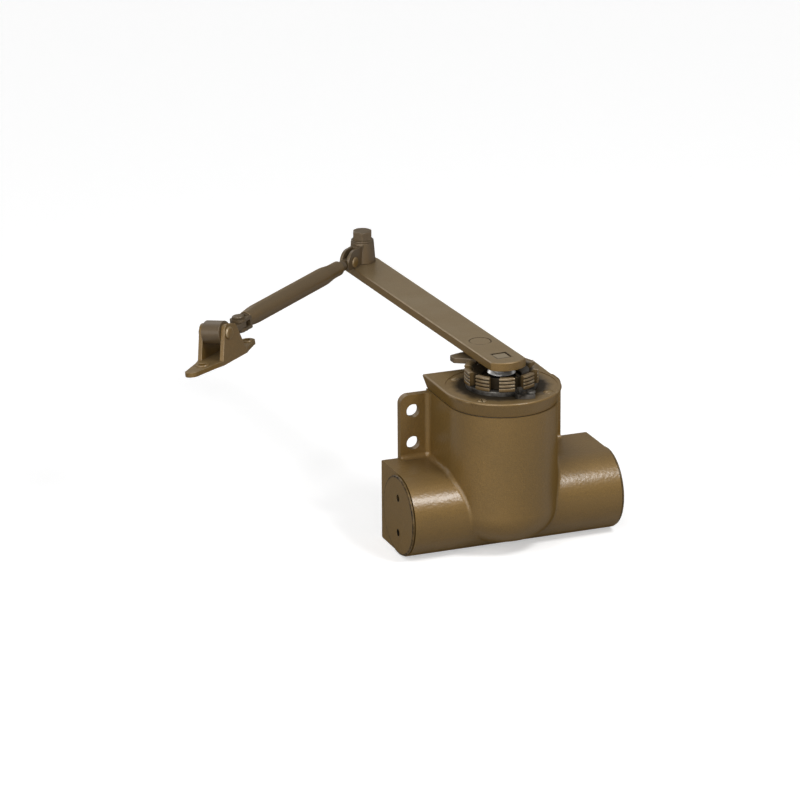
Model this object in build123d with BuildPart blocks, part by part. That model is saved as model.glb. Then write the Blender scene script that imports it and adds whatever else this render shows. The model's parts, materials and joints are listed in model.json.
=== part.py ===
from build123d import *
import math
import os

os.makedirs("parts", exist_ok=True)

# Heights are counted up from the underside of the cylinder.
# The zero of the row is the middle of the four door-screw holes, on the flat back.
BASE_Z = -87.0

# Radial play of pressed-in, bolted, turning and loosely fitted pieces
PRESS_PLAY = 0.02
TURN_PLAY = 0.06
PIN_PLAY = 0.1
LOOSE_PLAY = 0.3

# Horizontal cylinder
LEFT_END = -78.4
RIGHT_END = 88.6
CYL_R = 31.1
CYL_BACK = 39.0
BACK_EDGE = 1.6
BORE_R = 25.0
CAP_THREAD_R = 27.5
CAP_THREAD_DEPTH = 12.0
CAP_R = 30.5
CAP_PROUD = 2.2
CAP_SEAM = 0.6
CAP_SEAM_DEPTH = 1.4
CAP_EDGE = 1.2
CAP_INSIDE = 10.4
RING_R = 0.98
RING_GROOVE = 2.4
RING_FROM = 3.4
RING_DEEP = 2.0
SPANNER_HALF = 13.7
SPANNER_R = 2.7
SPANNER_DEEP = 6.5

# Speed valve in the square back corner of the cylinder, from the bore's middle
VALVE_Y = 31.0
VALVE_Z = 20.9
VALVE_R = 4.1
VALVE_SEAT = 76.0
VALVE_SUNK = 0.5
VALVE_SLOT = 1.1
VALVE_SLOT_DEEP = 1.6
VALVE_RING_FROM = 3.0
VALVE_RING_H = 2.0
VALVE_RING_DEEP = 1.4
NEEDLE_R = 1.1
NEEDLE_LONG = 4.0
PASSAGE_R = 2.0
PASSAGE_END = 20.0
PORT_X = (25.0, 72.0)
PORT_R = 1.5
PORT_DEEP = 20.0

# Vertical pot
SPINDLE_Y = -45.8
POT_R = 42.1
POT_LOW = 9.0
POT_ROUND = 25.0
POT_TOP = 113.9
CAST_FILLET = 4.0
CHAMBER_R = 33.0
RESERVOIR_Z = 30.0
BOSS_R = 14.0
BOSS_TOP = 70.0

# Door lugs
LUG_HALF = 65.3
LUG_TOP = 112.5
LUG_THICK = 6.0
LUG_CORNER = 7.0
LUG_FILLET = 4.0
SCREW_X = 110.0
SCREW_Z = 25.4
SCREW_R = 5.25

# Cover
GASKET = 0.6
COVER_BOTTOM = POT_TOP + GASKET
COVER_THICK = 11.3
COVER_TOP = COVER_BOTTOM + COVER_THICK
COVER_R = 41.3
COVER_TAPER = 19.9
DISH_R = 42.0
DISH_DEPTH = 0.4
DISH_Z = COVER_TOP - DISH_DEPTH
COVER_HOLE_R = 20.4
COVER_EDGE = 1.2
COVER_OVERHANG = 4.0
COVER_SPIGOT = 3.0
GASKET_BACK = 1.4

# Cover screws and their tapped holes
COVER_SCREWS = 4
COVER_SCREW_R = 37.4
COVER_SCREW_DEG = 45
CS_BORE_R = 2.2
CS_SINK_R = 3.95
CS_SHANK_R = 2.0
CS_HEAD_R = 3.7
CS_HEAD_H = 1.8
CS_SUNK = 0.2
CS_LONG = 22.0
CS_TAP_R = 2.1
CS_TAP_DEEP = 13.0
SCREW_SLOT = 0.9
SCREW_SLOT_LONG = 9.0

# Ratchet wheel
WHEEL_R = 28.0
WHEEL_WALL = 13.0
NOTCH_DEPTH = 7.0
CROWN_LIP_R = 24.4
CROWN_DISH_Z = 134.2
WHEEL_BOTTOM = 129.3
WHEEL_TOP = 140.0
WHEEL_LOBES = 9
WHEEL_GAP_DEG = 15.0
WHEEL_FIRST_GAP = -83.7
COLLAR_R = 20.0
COLLAR_BORE = 12.0
COLLAR_BOTTOM = 98.5
WASHER_R = 26.8
WASHER_EDGE = 0.6
WASHER_GAP = 0.2
LOBE_EDGE = 0.8
WEB_THICK = 2.6
GROOVES = 3
GROOVE_H = 1.0
GROOVE_DEPTH = 0.8
GROOVE_RAISE = 0.4

# Spindle, pinion and rack
SHAFT_R = 7.2
HUB_R = 9.0
JOURNAL_R = 6.0
SEAT_R = 6.5
SQUARE = 11.0
SQUARE_BELOW = 0.3
SQUARE_EDGE = 0.6
MODULE = 2.25
TEETH = 10
PITCH_R = MODULE * TEETH / 2
PRESSURE = math.radians(25)
TIP_R = PITCH_R + 0.8 * MODULE
ROOT_R = PITCH_R - MODULE
BACKLASH = 0.1
PINION_H = 18.0
FLANK_POINTS = 5
TOOTH_LAP = 0.6
JOURNAL_TOP = 16.0
JOURNAL_EDGE = 0.6
HUB_BOTTOM = 114.0
HUB_EDGE = 0.6
HUB_COLLAR_R = 10.8
HUB_COLLAR_LOW = 131.5
HUB_COLLAR_TOP = 136.4
HUB_COLLAR_CONE = 2.4

# Bearings and seal on the spindle
LOWER_BUSH_Z = 4.6
LOWER_BUSH_R = 7.6
LOWER_BUSH_H = 5.6
BUSH_Z = 57.5
BUSH_R = 10.0
SEAL_Z = 64.5
SEAL_R = 11.2
SEAL_H = 5.0
SEAL_LIP = 1.6
SEAL_WALL = 2.4
BUSH_FLOOR = 0.6
WHEEL_BUSH_Z = 118.0
WHEEL_BUSH_H = 13.0

# Closing spring and the holes that hold its two ends
WIRE_R = 2.8
SPRING_R = 26.4
SPRING_LOW = 75.0
SPRING_HIGH = 104.0
SPRING_TURNS = 3.5
TANG_R = 2.65
TANG_HOLE_R = 3.1
TANG_LONG = 5.0
TANG_SHORT = 1.5
RUN_OUT = 3.0

# Locking pawl, from the spindle's axis
PAWL_PIVOT = (9.5, -34.5)
PAWL_Z = DISH_Z + 0.2
PAWL_THICK = 3.4
PAWL_TOOTH_H = 4.0
PAWL_GAP = 0.6
PAWL_HOLE_R = 2.06
PAWL_OUTLINE = ((-1.2, -34.2), (-1.2, -29.2), (4.2, -29.2), (11.5, -31.4), (11.5, -37.6), (6.0, -37.6))
PAWL_TOOTH = ((0.4, -33.4), (0.4, -28.9), (3.6, -28.9), (3.6, -32.6))
PAWL_TAP_R = 1.6
PAWL_TAP_DEEP = 8.0
PAWL_SHANK_R = 1.58
PAWL_SHANK_LONG = 7.0
PAWL_NECK_R = 2.0
PAWL_NECK_H = 3.8
PAWL_HEAD_R = 3.2
PAWL_HEAD_H = 1.6

# Piston
PISTON_R = 24.95
NOTCH_LEFT = -16.0
NOTCH_RIGHT = 47.5
HEAD = 18.5
PISTON_LEFT = NOTCH_LEFT - HEAD
PISTON_RIGHT = NOTCH_RIGHT + HEAD
PISTON_EDGE = 0.8
PISTON_RING_FROM = 5.0
PISTON_RING_H = 2.7
PISTON_RING_DEEP = 2.1
PISTON_RING_PLAY = 0.15
RACK_LINE = SPINDLE_Y + PITCH_R
RACK_ROOT = RACK_LINE + MODULE
RACK_TIP = RACK_LINE - 0.8 * MODULE
RACK_PITCH = math.pi * MODULE
RACK_TEETH = range(-1, 6)
BALL_R = 4.0
BALL_SEAT = 53.0
BALL_PORT_R = 2.6
BALL_GAP = 0.05
PLUG_LONG = 4.0
PLUG_HOLE_R = 1.8

# Arm
ARM_Z = 142.6
ARM_THICK = 6.3
ARM_TOP = ARM_Z + ARM_THICK
ARM_WIDTH = 28.6
ARM_LENGTH = 257.5
ARM_DEG = 92.56
ARM_NOSE_R = 18.6
DOG_PIVOT = 37.5
DOG_Z = 135.6
DOG_THICK = 4.2
ARM_EDGE = 0.6
SQUARE_PLAY = 0.3
ARM_BOLT_HOLE_R = 4.85
STUD_HEAD_R = 8.0
STUD_HEAD_H = 0.83
STUD_SINK = 0.9
STUD_SINK_R = 8.3
STUD_R = 4.08
STUD_HOLE_R = 4.1
STUD_NECK_R = 3.4
STUD_FOOT_R = 5.6
STUD_FOOT_H = 2.0
STUD_DROP = 2.2

# Drive dog: its beak stands in a gap of the wheel, its thumb tab is drawn from the spindle's axis
BEAK_DEG = WHEEL_FIRST_GAP + 200 - 1.5
BEAK_HALF = 1.4
BEAK_TIP = 25.0
BEAK_ROOT = 29.2
DOG_GAP = 0.7
DOG_EYE_R = 8.4
DOG_EYE_SIDE = (6.0, -5.0)
DOG_HOLE_R = 3.48
DOG_TAB = ((-25.2, 33.0), (-25.2, 40.5), (-16.0, 43.5))
DOG_TAB_EDGE = 2.0

# Elbow and forearm
FOREARM_Z = 153.9
FOREARM_DEG = 220.1
ELBOW_R = 10.3
ELBOW_TAPER = 4.5
ELBOW_BOTTOM = ARM_TOP + 0.25
ELBOW_TOP = 165.6
ELBOW_PIN = 20.0
FORK_HALF = 4.2
FORK_SLOT = 3.8
FORK_SLOT_FROM = 12.7
FORK_SLOT_LONG = 31.0
EAR_R = 9.8
ELBOW_PIN_R = 3.0
ELBOW_PIN_HOLE_R = 3.05
ELBOW_PIN_OUT = 0.5
ELBOW_PIN_HEAD_R = 4.4
ELBOW_PIN_HEAD_H = 1.3
BOLT_R = 4.76
BOLT_BELOW = 5.2
HEX_AF = 14.3
HEX_EDGE = 1.1
HEAD_H = 7.2
HEAD_TURN = 8
NUT_H = 4.5
NUT_TURN = 20
ELBOW_GAP = 0.1
ELBOW_WASHER_R = 8.8
WASHER_H = 1.2
EYE_HALF = 1.7
EYE_R = 4.95
EYE_HOLE_R = 3.1
EYE_BLEND = 2.5
SHANK_END = 32.5
ROD_R = 4.0
ROD_END = 122.0
ROD_EDGE = 1.0
TUBE_R = 7.15
TUBE_WALL = 1.6
TUBE_IN = TUBE_R - TUBE_WALL
TUBE_START = 39.0
TUBE_END = 183.6
TUBE_MOUTH_R = 5.2
TUBE_MOUTH_EDGE = 0.8
TUBE_NECK_R = 5.8
TUBE_NECK = 13.0
TUBE_TAIL_R = 5.9
SWAGE_LONG = 11.0
SWAGE_TAIL = 13.0
STEM_R = 5.05
STEM_LONG = 32.0
STEM_EDGE = 0.6
FOOT_PIN = 193.0
FOOT_ROLL = 7.5

# Foot
BARREL = 33.5
FOOT_DROP = 1.2
BARREL_RISE = 2.1
BARREL_R = 9.0
EAR_INSIDE = 15.8
EAR_THICK = 3.4
BASE_DROP = 16.3
BASE_THICK = 3.6
BASE_BACK = 5.0
FLANGE_FRONT = 50.0
FLANGE_REAR = 43.0
FLANGE_SHOULDER = 6.0
HOLE_RING_R = 5.3
HOLE_RING_H = 0.9
FOOT_HOLES = (29.6, -36.0)
FOOT_HOLE_R = 2.9
FLANGE_R = 5.5
FLANGE_NARROW = 2.0
EAR_FRONT = 13.0
EAR_REAR = 22.0
EAR_TOP = 7.9
EAR_TOP_BACK = 4.4
EAR_TOP_FRONT = 3.7
EAR_TOP_REAR = 11.0
EAR_CORNER = 4.5
EAR_LAP = 1.0
BARREL_GAP = 0.25
BARREL_HOLE_R = 3.48
EAR_HOLE_R = 3.44
BARREL_PIN_R = 3.4
BARREL_PIN_HEAD_R = 4.9
BARREL_PIN_HEAD_H = 1.7
BARREL_PIN_TAPER = 18
HOLE_RING_TAPER = 20

# Clevis on the tube, the tongue of the barrel in it and their pin
CLEVIS_HALF = 4.8
CLEVIS_SLOT = 4.6
CLEVIS_R = 6.6
CLEVIS_LONG = 9.0
CLEVIS_WIDE = 12.4
CLEVIS_WEB = 2.4
TONGUE_HALF = 2.1
TONGUE_R = 5.6
PIN_R = 3.2
PIN_HEAD_R = 4.8
PIN_HEAD_H = 2.4
PIN_HEAD_EDGE = 1.0
PIN_TAIL_R = 4.2
PIN_TAIL_H = 1.4
HEAD_GAP = 0.02


def at(x, y, z):
    """A level plane at a plan position and a height above the cylinder's underside."""
    return Plane(origin=(x, y, BASE_Z + z), x_dir=(1, 0, 0), z_dir=(0, 0, 1))


def across(x):
    """A plane square to the cylinder's axis; its own x runs to the back and its y runs up."""
    return Plane(origin=(x, -CYL_BACK, BASE_Z + CYL_R), x_dir=(0, 1, 0), z_dir=(1, 0, 0))


def polar(radius, degrees):
    """A point around the spindle, in the spindle's own plan."""
    angle = math.radians(degrees)
    return (radius * math.cos(angle), radius * math.sin(angle))


def upright(x, y):
    """A vertical plane through a plan position, its x along the row's X and its y upwards."""
    return Plane(origin=(x, y, BASE_Z), x_dir=(1, 0, 0), z_dir=(0, -1, 0))


spindle_axis = Axis((0, SPINDLE_Y, 0), (0, 0, 1))
bore_axis = Axis((0, -CYL_BACK, BASE_Z + CYL_R), (1, 0, 0))
back_plane = Plane(origin=(0, 0, BASE_Z), x_dir=(1, 0, 0), z_dir=(0, -1, 0))
screw_mid = -BASE_Z

# Plan direction of the arm, the elbow's place and the forearm's frame
arm_dir = Vector(*polar(1, ARM_DEG), 0)
elbow = Vector(0, SPINDLE_Y, 0) + arm_dir * ARM_LENGTH
reach = Vector(*polar(1, FOREARM_DEG), 0)
side = Vector(*polar(1, FOREARM_DEG + 90), 0)
roll = math.radians(FOOT_ROLL)
forearm_level = BASE_Z + FOREARM_Z
forearm_plane = Plane(origin=(elbow.X, elbow.Y, forearm_level), x_dir=reach, z_dir=(0, 0, 1))
forearm_side = Plane(origin=(elbow.X, elbow.Y, forearm_level), x_dir=reach, z_dir=side * -1)
forearm_axis = Axis((elbow.X, elbow.Y, forearm_level), reach)
foot_up = Vector(0, 0, 1) * math.cos(roll) - side * math.sin(roll)
foot_across = side * math.cos(roll) + Vector(0, 0, 1) * math.sin(roll)
tube_tip = elbow + reach * FOOT_PIN + Vector(0, 0, forearm_level)
stem_plane = Plane(origin=tube_tip, x_dir=reach, z_dir=foot_up)
foot_spot = tube_tip - foot_up * FOOT_DROP
foot_plane = Plane(origin=foot_spot, x_dir=reach, z_dir=foot_up)
barrel_spot = tube_tip + reach * BARREL + foot_up * BARREL_RISE
foot_side = Plane(origin=barrel_spot, x_dir=reach, z_dir=foot_across * -1)

# Oil pocket and spring chamber, taken out of the casting
with BuildPart() as chamber:
    with BuildSketch(at(0, SPINDLE_Y, RESERVOIR_Z)):
        Circle(CHAMBER_R)
    extrude(amount=POT_TOP - RESERVOIR_Z + 1)
    with BuildSketch(across(LEFT_END)):
        Circle(CYL_R)
        with Locations((CYL_BACK / 2, 0)):
            Rectangle(CYL_BACK, 2 * CYL_R)
    extrude(amount=RIGHT_END - LEFT_END, mode=Mode.SUBTRACT)
    with BuildSketch(at(0, SPINDLE_Y, CYL_R)):
        Circle(BOSS_R)
    extrude(amount=BOSS_TOP - CYL_R, mode=Mode.SUBTRACT)

# Outside of the pot, rounded along its bottom edge where it runs into the cylinder
with BuildPart() as pot:
    with BuildSketch(at(0, SPINDLE_Y, POT_LOW)):
        Circle(POT_R)
        with Locations((0, -SPINDLE_Y / 2)):
            Rectangle(2 * POT_R, -SPINDLE_Y)
    extrude(amount=POT_TOP - POT_LOW)
    bottom_rim = pot.edges().group_by(Axis.Z)[0].sort_by(Axis.Y)[:-1]
    fillet(bottom_rim, radius=POT_ROUND)

# Cast body: cylinder, pot and the two door lugs in one casting
with BuildPart() as housing:
    with BuildSketch(across(LEFT_END)):
        Circle(CYL_R)
        with Locations((CYL_BACK / 2, 0)):
            Rectangle(CYL_BACK, 2 * CYL_R)
    extrude(amount=RIGHT_END - LEFT_END)
    add(pot.part)
    # Broad cast fillet where the pot grows out of the cylinder
    cylinder_top = BASE_Z + 2 * CYL_R
    pot_corners = housing.edges().filter_by(GeomType.BSPLINE)
    for edge in housing.edges().filter_by(GeomType.LINE):
        middle = edge.center()
        if abs(middle.Z - cylinder_top) < 0.01 and abs(abs(middle.X) - POT_R) < 0.01:
            pot_corners.append(edge)
    fillet(pot_corners, radius=CAST_FILLET)
    with BuildSketch(back_plane):
        with Locations((0, (LUG_TOP + CYL_R) / 2)):
            Rectangle(2 * LUG_HALF, LUG_TOP - CYL_R)
        outer_corners = vertices().group_by(Axis.Z)[-1]
        fillet(outer_corners, radius=LUG_CORNER)
    extrude(amount=LUG_THICK)
    # Smaller fillet along the foot of the lugs
    lug_foot = ShapeList()
    for edge in housing.edges().filter_by_position(Axis.Y, -LUG_THICK, -LUG_THICK):
        middle = edge.center()
        near_pot = abs(middle.X) < POT_R + CAST_FILLET
        near_cylinder = middle.Z < cylinder_top + CAST_FILLET
        below_top = middle.Z < BASE_Z + LUG_TOP - 1
        if below_top and (near_pot or near_cylinder) and abs(middle.X) < LUG_HALF - 1:
            lug_foot.append(edge)
    fillet(lug_foot, radius=LUG_FILLET)
    back_edges = housing.edges().filter_by(Axis.X).group_by(Axis.Y)[-1]
    cylinder_back = [edge for edge in back_edges if edge.center().Z < cylinder_top + 1]
    fillet(cylinder_back, radius=BACK_EDGE)
    add(chamber.part, mode=Mode.SUBTRACT)
    with BuildSketch(across(LEFT_END)):
        Circle(BORE_R)
    extrude(amount=RIGHT_END - LEFT_END, mode=Mode.SUBTRACT)
    for end, inward in ((LEFT_END, 1), (RIGHT_END, -1)):
        with BuildSketch(across(end)):
            Circle(CAP_THREAD_R)
        extrude(amount=inward * CAP_THREAD_DEPTH, mode=Mode.SUBTRACT)
    # Bearing, seal and shaft holes on the spindle's axis
    with BuildSketch(at(0, SPINDLE_Y, CYL_R)):
        Circle(SHAFT_R + LOOSE_PLAY)
    extrude(amount=BOSS_TOP - CYL_R, mode=Mode.SUBTRACT)
    with BuildSketch(at(0, SPINDLE_Y, BUSH_Z)):
        Circle(BUSH_R)
    extrude(amount=BOSS_TOP - BUSH_Z, mode=Mode.SUBTRACT)
    with BuildSketch(at(0, SPINDLE_Y, SEAL_Z)):
        Circle(SEAL_R)
    extrude(amount=BOSS_TOP - SEAL_Z, mode=Mode.SUBTRACT)
    with BuildSketch(at(0, SPINDLE_Y, LOWER_BUSH_Z)):
        Circle(LOWER_BUSH_R)
    extrude(amount=CYL_R - LOWER_BUSH_Z, mode=Mode.SUBTRACT)
    # Hole in the pot wall that holds the spring's lower end
    with BuildSketch(Plane(origin=(0, SPINDLE_Y, BASE_Z + SPRING_LOW), x_dir=(1, 0, 0), z_dir=(0, -1, 0))):
        Circle(TANG_HOLE_R)
    extrude(amount=CHAMBER_R + TANG_LONG + 1, mode=Mode.SUBTRACT)
    # Valve drilling in the square back corner, with its two ports into the bore
    with BuildSketch(across(RIGHT_END)):
        with Locations((VALVE_Y, VALVE_Z)):
            Circle(VALVE_R)
    extrude(amount=VALVE_SEAT - RIGHT_END, mode=Mode.SUBTRACT)
    with BuildSketch(across(RIGHT_END)):
        with Locations((VALVE_Y, VALVE_Z)):
            Circle(PASSAGE_R)
    extrude(amount=PASSAGE_END - RIGHT_END, mode=Mode.SUBTRACT)
    for port in PORT_X:
        port_from = (port, VALVE_Y - CYL_BACK, BASE_Z + CYL_R + VALVE_Z)
        with BuildSketch(Plane(origin=port_from, x_dir=(1, 0, 0), z_dir=(0, -VALVE_Y, -VALVE_Z))):
            Circle(PORT_R)
        extrude(amount=PORT_DEEP, mode=Mode.SUBTRACT)
    # Door-screw holes
    with BuildSketch(back_plane):
        with Locations((0, screw_mid)):
            with GridLocations(SCREW_X, SCREW_Z, 2, 2):
                Circle(SCREW_R)
    extrude(amount=LUG_THICK, mode=Mode.SUBTRACT)
    # Tapped holes for the cover screws
    with BuildSketch(at(0, SPINDLE_Y, POT_TOP)):
        with PolarLocations(COVER_SCREW_R, COVER_SCREWS, start_angle=COVER_SCREW_DEG):
            Circle(CS_TAP_R)
    extrude(amount=-CS_TAP_DEEP, mode=Mode.SUBTRACT)
housing.part.label = "housing"
export_step(housing.part, "parts/housing.step")

# Cover over the pot, wider at the top than at the joint
with BuildPart() as cover:
    with BuildSketch(at(0, SPINDLE_Y, COVER_BOTTOM)):
        Circle(COVER_R)
        with Locations((0, (COVER_OVERHANG - SPINDLE_Y) / 2)):
            Rectangle(2 * COVER_R, COVER_OVERHANG - SPINDLE_Y)
    extrude(amount=COVER_THICK, taper=-COVER_TAPER)
    split(bisect_by=Plane(origin=(0, 0, 0), x_dir=(1, 0, 0), z_dir=(0, -1, 0)), keep=Keep.TOP)
    top_edges = cover.faces().sort_by(Axis.Z)[-1].edges()
    fillet(top_edges, radius=COVER_EDGE)
    with BuildSketch(at(0, SPINDLE_Y, DISH_Z)):
        Circle(DISH_R)
    extrude(amount=DISH_DEPTH, mode=Mode.SUBTRACT)
    with BuildSketch(at(0, SPINDLE_Y, COVER_BOTTOM)):
        Circle(CHAMBER_R - PIN_PLAY)
    extrude(amount=-COVER_SPIGOT)
    with BuildSketch(at(0, SPINDLE_Y, COVER_BOTTOM - COVER_SPIGOT)):
        Circle(COVER_HOLE_R)
    extrude(amount=COVER_THICK + COVER_SPIGOT, mode=Mode.SUBTRACT)
    with Locations(at(0, SPINDLE_Y, DISH_Z)):
        with PolarLocations(COVER_SCREW_R, COVER_SCREWS, start_angle=COVER_SCREW_DEG):
            CounterSinkHole(CS_BORE_R, CS_SINK_R, depth=COVER_THICK)
    with BuildSketch(at(PAWL_PIVOT[0], SPINDLE_Y + PAWL_PIVOT[1], DISH_Z)):
        Circle(PAWL_TAP_R)
    extrude(amount=-PAWL_TAP_DEEP, mode=Mode.SUBTRACT)
cover.part.label = "cover"
export_step(cover.part, "parts/cover.step")

with BuildPart() as cover_gasket:
    with BuildSketch(at(0, SPINDLE_Y, POT_TOP)):
        Circle(POT_R - GASKET_BACK)
        with Locations((0, -(SPINDLE_Y + GASKET_BACK) / 2)):
            Rectangle(2 * (POT_R - GASKET_BACK), -SPINDLE_Y - GASKET_BACK)
        Circle(CHAMBER_R + PIN_PLAY, mode=Mode.SUBTRACT)
        with PolarLocations(COVER_SCREW_R, COVER_SCREWS, start_angle=COVER_SCREW_DEG):
            Circle(CS_BORE_R + PIN_PLAY, mode=Mode.SUBTRACT)
    extrude(amount=GASKET)
cover_gasket.part.label = "cover_gasket"
export_step(cover_gasket.part, "parts/cover_gasket.step")

# Four slotted countersunk screws that hold the cover
screw_angles = [COVER_SCREW_DEG + 360 / COVER_SCREWS * count for count in range(COVER_SCREWS)]
screw_spots = [polar(COVER_SCREW_R, angle) for angle in screw_angles]
head_top = DISH_Z - CS_SUNK
with BuildPart() as cover_screws:
    for spot_x, spot_y in screw_spots:
        with BuildSketch(upright(spot_x, SPINDLE_Y + spot_y)):
            with BuildLine():
                Polyline(
                    (0, DISH_Z - CS_LONG),
                    (CS_SHANK_R, DISH_Z - CS_LONG),
                    (CS_SHANK_R, head_top - CS_HEAD_H),
                    (CS_HEAD_R, head_top),
                    (0, head_top),
                    close=True,
                )
            make_face()
        revolve(axis=Axis((spot_x, SPINDLE_Y + spot_y, 0), (0, 0, 1)))
    for spot_x, spot_y in screw_spots:
        with BuildSketch(at(spot_x, SPINDLE_Y + spot_y, head_top)):
            Rectangle(SCREW_SLOT_LONG, SCREW_SLOT, rotation=30)
        extrude(amount=-SCREW_SLOT, mode=Mode.SUBTRACT)
cover_screws.part.label = "cover_screws"
export_step(cover_screws.part, "parts/cover_screws.step")

# Screwed end caps with two spanner holes, and their sealing rings
for name, end, inward in (("left", LEFT_END, 1), ("right", RIGHT_END, -1)):
    with BuildPart() as end_cap:
        with BuildSketch(across(end - inward * CAP_PROUD)):
            Circle(CAP_R)
        extrude(amount=inward * (CAP_PROUD - CAP_SEAM))
        outer_rim = end_cap.edges().sort_by(Axis.X)[0 if inward > 0 else -1]
        fillet(outer_rim, radius=CAP_EDGE)
        with BuildSketch(across(end - inward * CAP_SEAM)):
            Circle(CAP_R - CAP_SEAM_DEPTH)
        extrude(amount=inward * CAP_SEAM)
        with BuildSketch(across(end)):
            Circle(CAP_THREAD_R - PIN_PLAY)
        extrude(amount=inward * CAP_INSIDE)
        with BuildSketch(across(end + inward * (CAP_INSIDE - RING_FROM))):
            Circle(CAP_THREAD_R)
            Circle(CAP_THREAD_R - RING_DEEP, mode=Mode.SUBTRACT)
        extrude(amount=inward * RING_GROOVE, mode=Mode.SUBTRACT)
        with BuildSketch(across(end - inward * CAP_PROUD)):
            with Locations((0, SPANNER_HALF), (0, -SPANNER_HALF)):
                Circle(SPANNER_R)
        extrude(amount=inward * SPANNER_DEEP, mode=Mode.SUBTRACT)
    end_cap.part.label = name + "_end_cap"
    export_step(end_cap.part, "parts/" + name + "_end_cap.step")
    with BuildPart() as cap_ring:
        ring_x = end + inward * (CAP_INSIDE - RING_FROM + RING_GROOVE / 2)
        ring_y = CAP_THREAD_R - RING_DEEP / 2 - CYL_BACK
        with BuildSketch(Plane(origin=(ring_x, ring_y, BASE_Z + CYL_R), x_dir=(1, 0, 0), z_dir=(0, 0, 1))):
            Circle(RING_R)
        revolve(axis=bore_axis)
    cap_ring.part.label = name + "_cap_ring"
    export_step(cap_ring.part, "parts/" + name + "_cap_ring.step")

# Bearings and the lip seal of the spindle
with BuildPart() as lower_bush:
    with BuildSketch(at(0, SPINDLE_Y, LOWER_BUSH_Z)):
        Circle(LOWER_BUSH_R - PRESS_PLAY)
    extrude(amount=LOWER_BUSH_H)
    with BuildSketch(at(0, SPINDLE_Y, LOWER_BUSH_Z + BUSH_FLOOR)):
        Circle(JOURNAL_R + TURN_PLAY)
    extrude(amount=LOWER_BUSH_H, mode=Mode.SUBTRACT)
lower_bush.part.label = "lower_bush"
export_step(lower_bush.part, "parts/lower_bush.step")

with BuildPart() as middle_bush:
    with BuildSketch(at(0, SPINDLE_Y, BUSH_Z)):
        Circle(BUSH_R - PRESS_PLAY)
        Circle(SHAFT_R + TURN_PLAY, mode=Mode.SUBTRACT)
    extrude(amount=SEAL_Z - BUSH_Z)
middle_bush.part.label = "middle_bush"
export_step(middle_bush.part, "parts/middle_bush.step")

with BuildPart() as spindle_seal:
    seal_low = SEAL_Z + PIN_PLAY
    lip_r = SHAFT_R + TURN_PLAY
    with BuildSketch(upright(0, SPINDLE_Y)):
        with BuildLine():
            Polyline(
                (SEAL_R - TURN_PLAY, seal_low),
                (SEAL_R - TURN_PLAY, seal_low + SEAL_H),
                (SHAFT_R + SEAL_WALL, seal_low + SEAL_H),
                (SHAFT_R + SEAL_WALL, seal_low + SEAL_WALL),
                (lip_r, seal_low + SEAL_LIP),
                (lip_r, seal_low),
                close=True,
            )
        make_face()
    revolve(axis=spindle_axis)
spindle_seal.part.label = "spindle_seal"
export_step(spindle_seal.part, "parts/spindle_seal.step")

# Bright washer on the floor of the cover, under the ratchet wheel
with BuildPart() as thrust_washer:
    with BuildSketch(at(0, SPINDLE_Y, DISH_Z)):
        Circle(WASHER_R)
        Circle(COVER_HOLE_R, mode=Mode.SUBTRACT)
    extrude(amount=WHEEL_BOTTOM - WASHER_GAP - DISH_Z)
    chamfer(thrust_washer.edges().group_by(Axis.Z)[-1], length=WASHER_EDGE)
thrust_washer.part.label = "thrust_washer"
export_step(thrust_washer.part, "parts/thrust_washer.step")

# Ratchet wheel: a crown of lobes on a collar that reaches down to the spring
with BuildPart() as ratchet_wheel:
    with BuildSketch(at(0, SPINDLE_Y, WHEEL_BOTTOM)):
        Circle(WHEEL_R)
    extrude(amount=WHEEL_TOP - WHEEL_BOTTOM)
    fillet(ratchet_wheel.edges().group_by(Axis.Z)[-1], radius=LOBE_EDGE)
    with BuildSketch(at(0, SPINDLE_Y, WHEEL_BOTTOM + WEB_THICK)):
        Circle(WHEEL_R - WHEEL_WALL)
    extrude(amount=WHEEL_TOP - WHEEL_BOTTOM, mode=Mode.SUBTRACT)
    with BuildSketch(upright(0, SPINDLE_Y)):
        with BuildLine():
            Polyline(
                (0, WHEEL_TOP + 1),
                (CROWN_LIP_R + 1, WHEEL_TOP + 1),
                (CROWN_LIP_R, WHEEL_TOP),
                (WHEEL_R - WHEEL_WALL, CROWN_DISH_Z),
                (0, CROWN_DISH_Z),
                close=True,
            )
        make_face()
    revolve(axis=spindle_axis, mode=Mode.SUBTRACT)
    with BuildSketch(upright(0, SPINDLE_Y)):
        groove_pitch = (WHEEL_TOP - WHEEL_BOTTOM) / (GROOVES + 1)
        for row in range(GROOVES):
            with Locations((WHEEL_R, WHEEL_BOTTOM + GROOVE_RAISE + (row + 1) * groove_pitch)):
                Rectangle(2 * GROOVE_DEPTH, GROOVE_H)
    revolve(axis=spindle_axis, mode=Mode.SUBTRACT)
    with BuildSketch(at(0, SPINDLE_Y, WHEEL_BOTTOM)):
        gap_width = 2 * WHEEL_R * math.sin(math.radians(WHEEL_GAP_DEG / 2))
        with PolarLocations(WHEEL_R, WHEEL_LOBES, start_angle=WHEEL_FIRST_GAP):
            Rectangle(2 * NOTCH_DEPTH, gap_width)
    extrude(amount=WHEEL_TOP - WHEEL_BOTTOM, mode=Mode.SUBTRACT)
    with BuildSketch(at(0, SPINDLE_Y, COLLAR_BOTTOM)):
        Circle(COLLAR_R)
    extrude(amount=WHEEL_BOTTOM - COLLAR_BOTTOM)
    with BuildSketch(at(0, SPINDLE_Y, COLLAR_BOTTOM)):
        Circle(COLLAR_BORE)
    extrude(amount=WHEEL_TOP - COLLAR_BOTTOM, mode=Mode.SUBTRACT)
    with BuildSketch(Plane(origin=(0, SPINDLE_Y, BASE_Z + SPRING_HIGH), x_dir=(1, 0, 0), z_dir=(0, 1, 0))):
        Circle(TANG_HOLE_R)
    extrude(amount=COLLAR_R + 1, mode=Mode.SUBTRACT)
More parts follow.
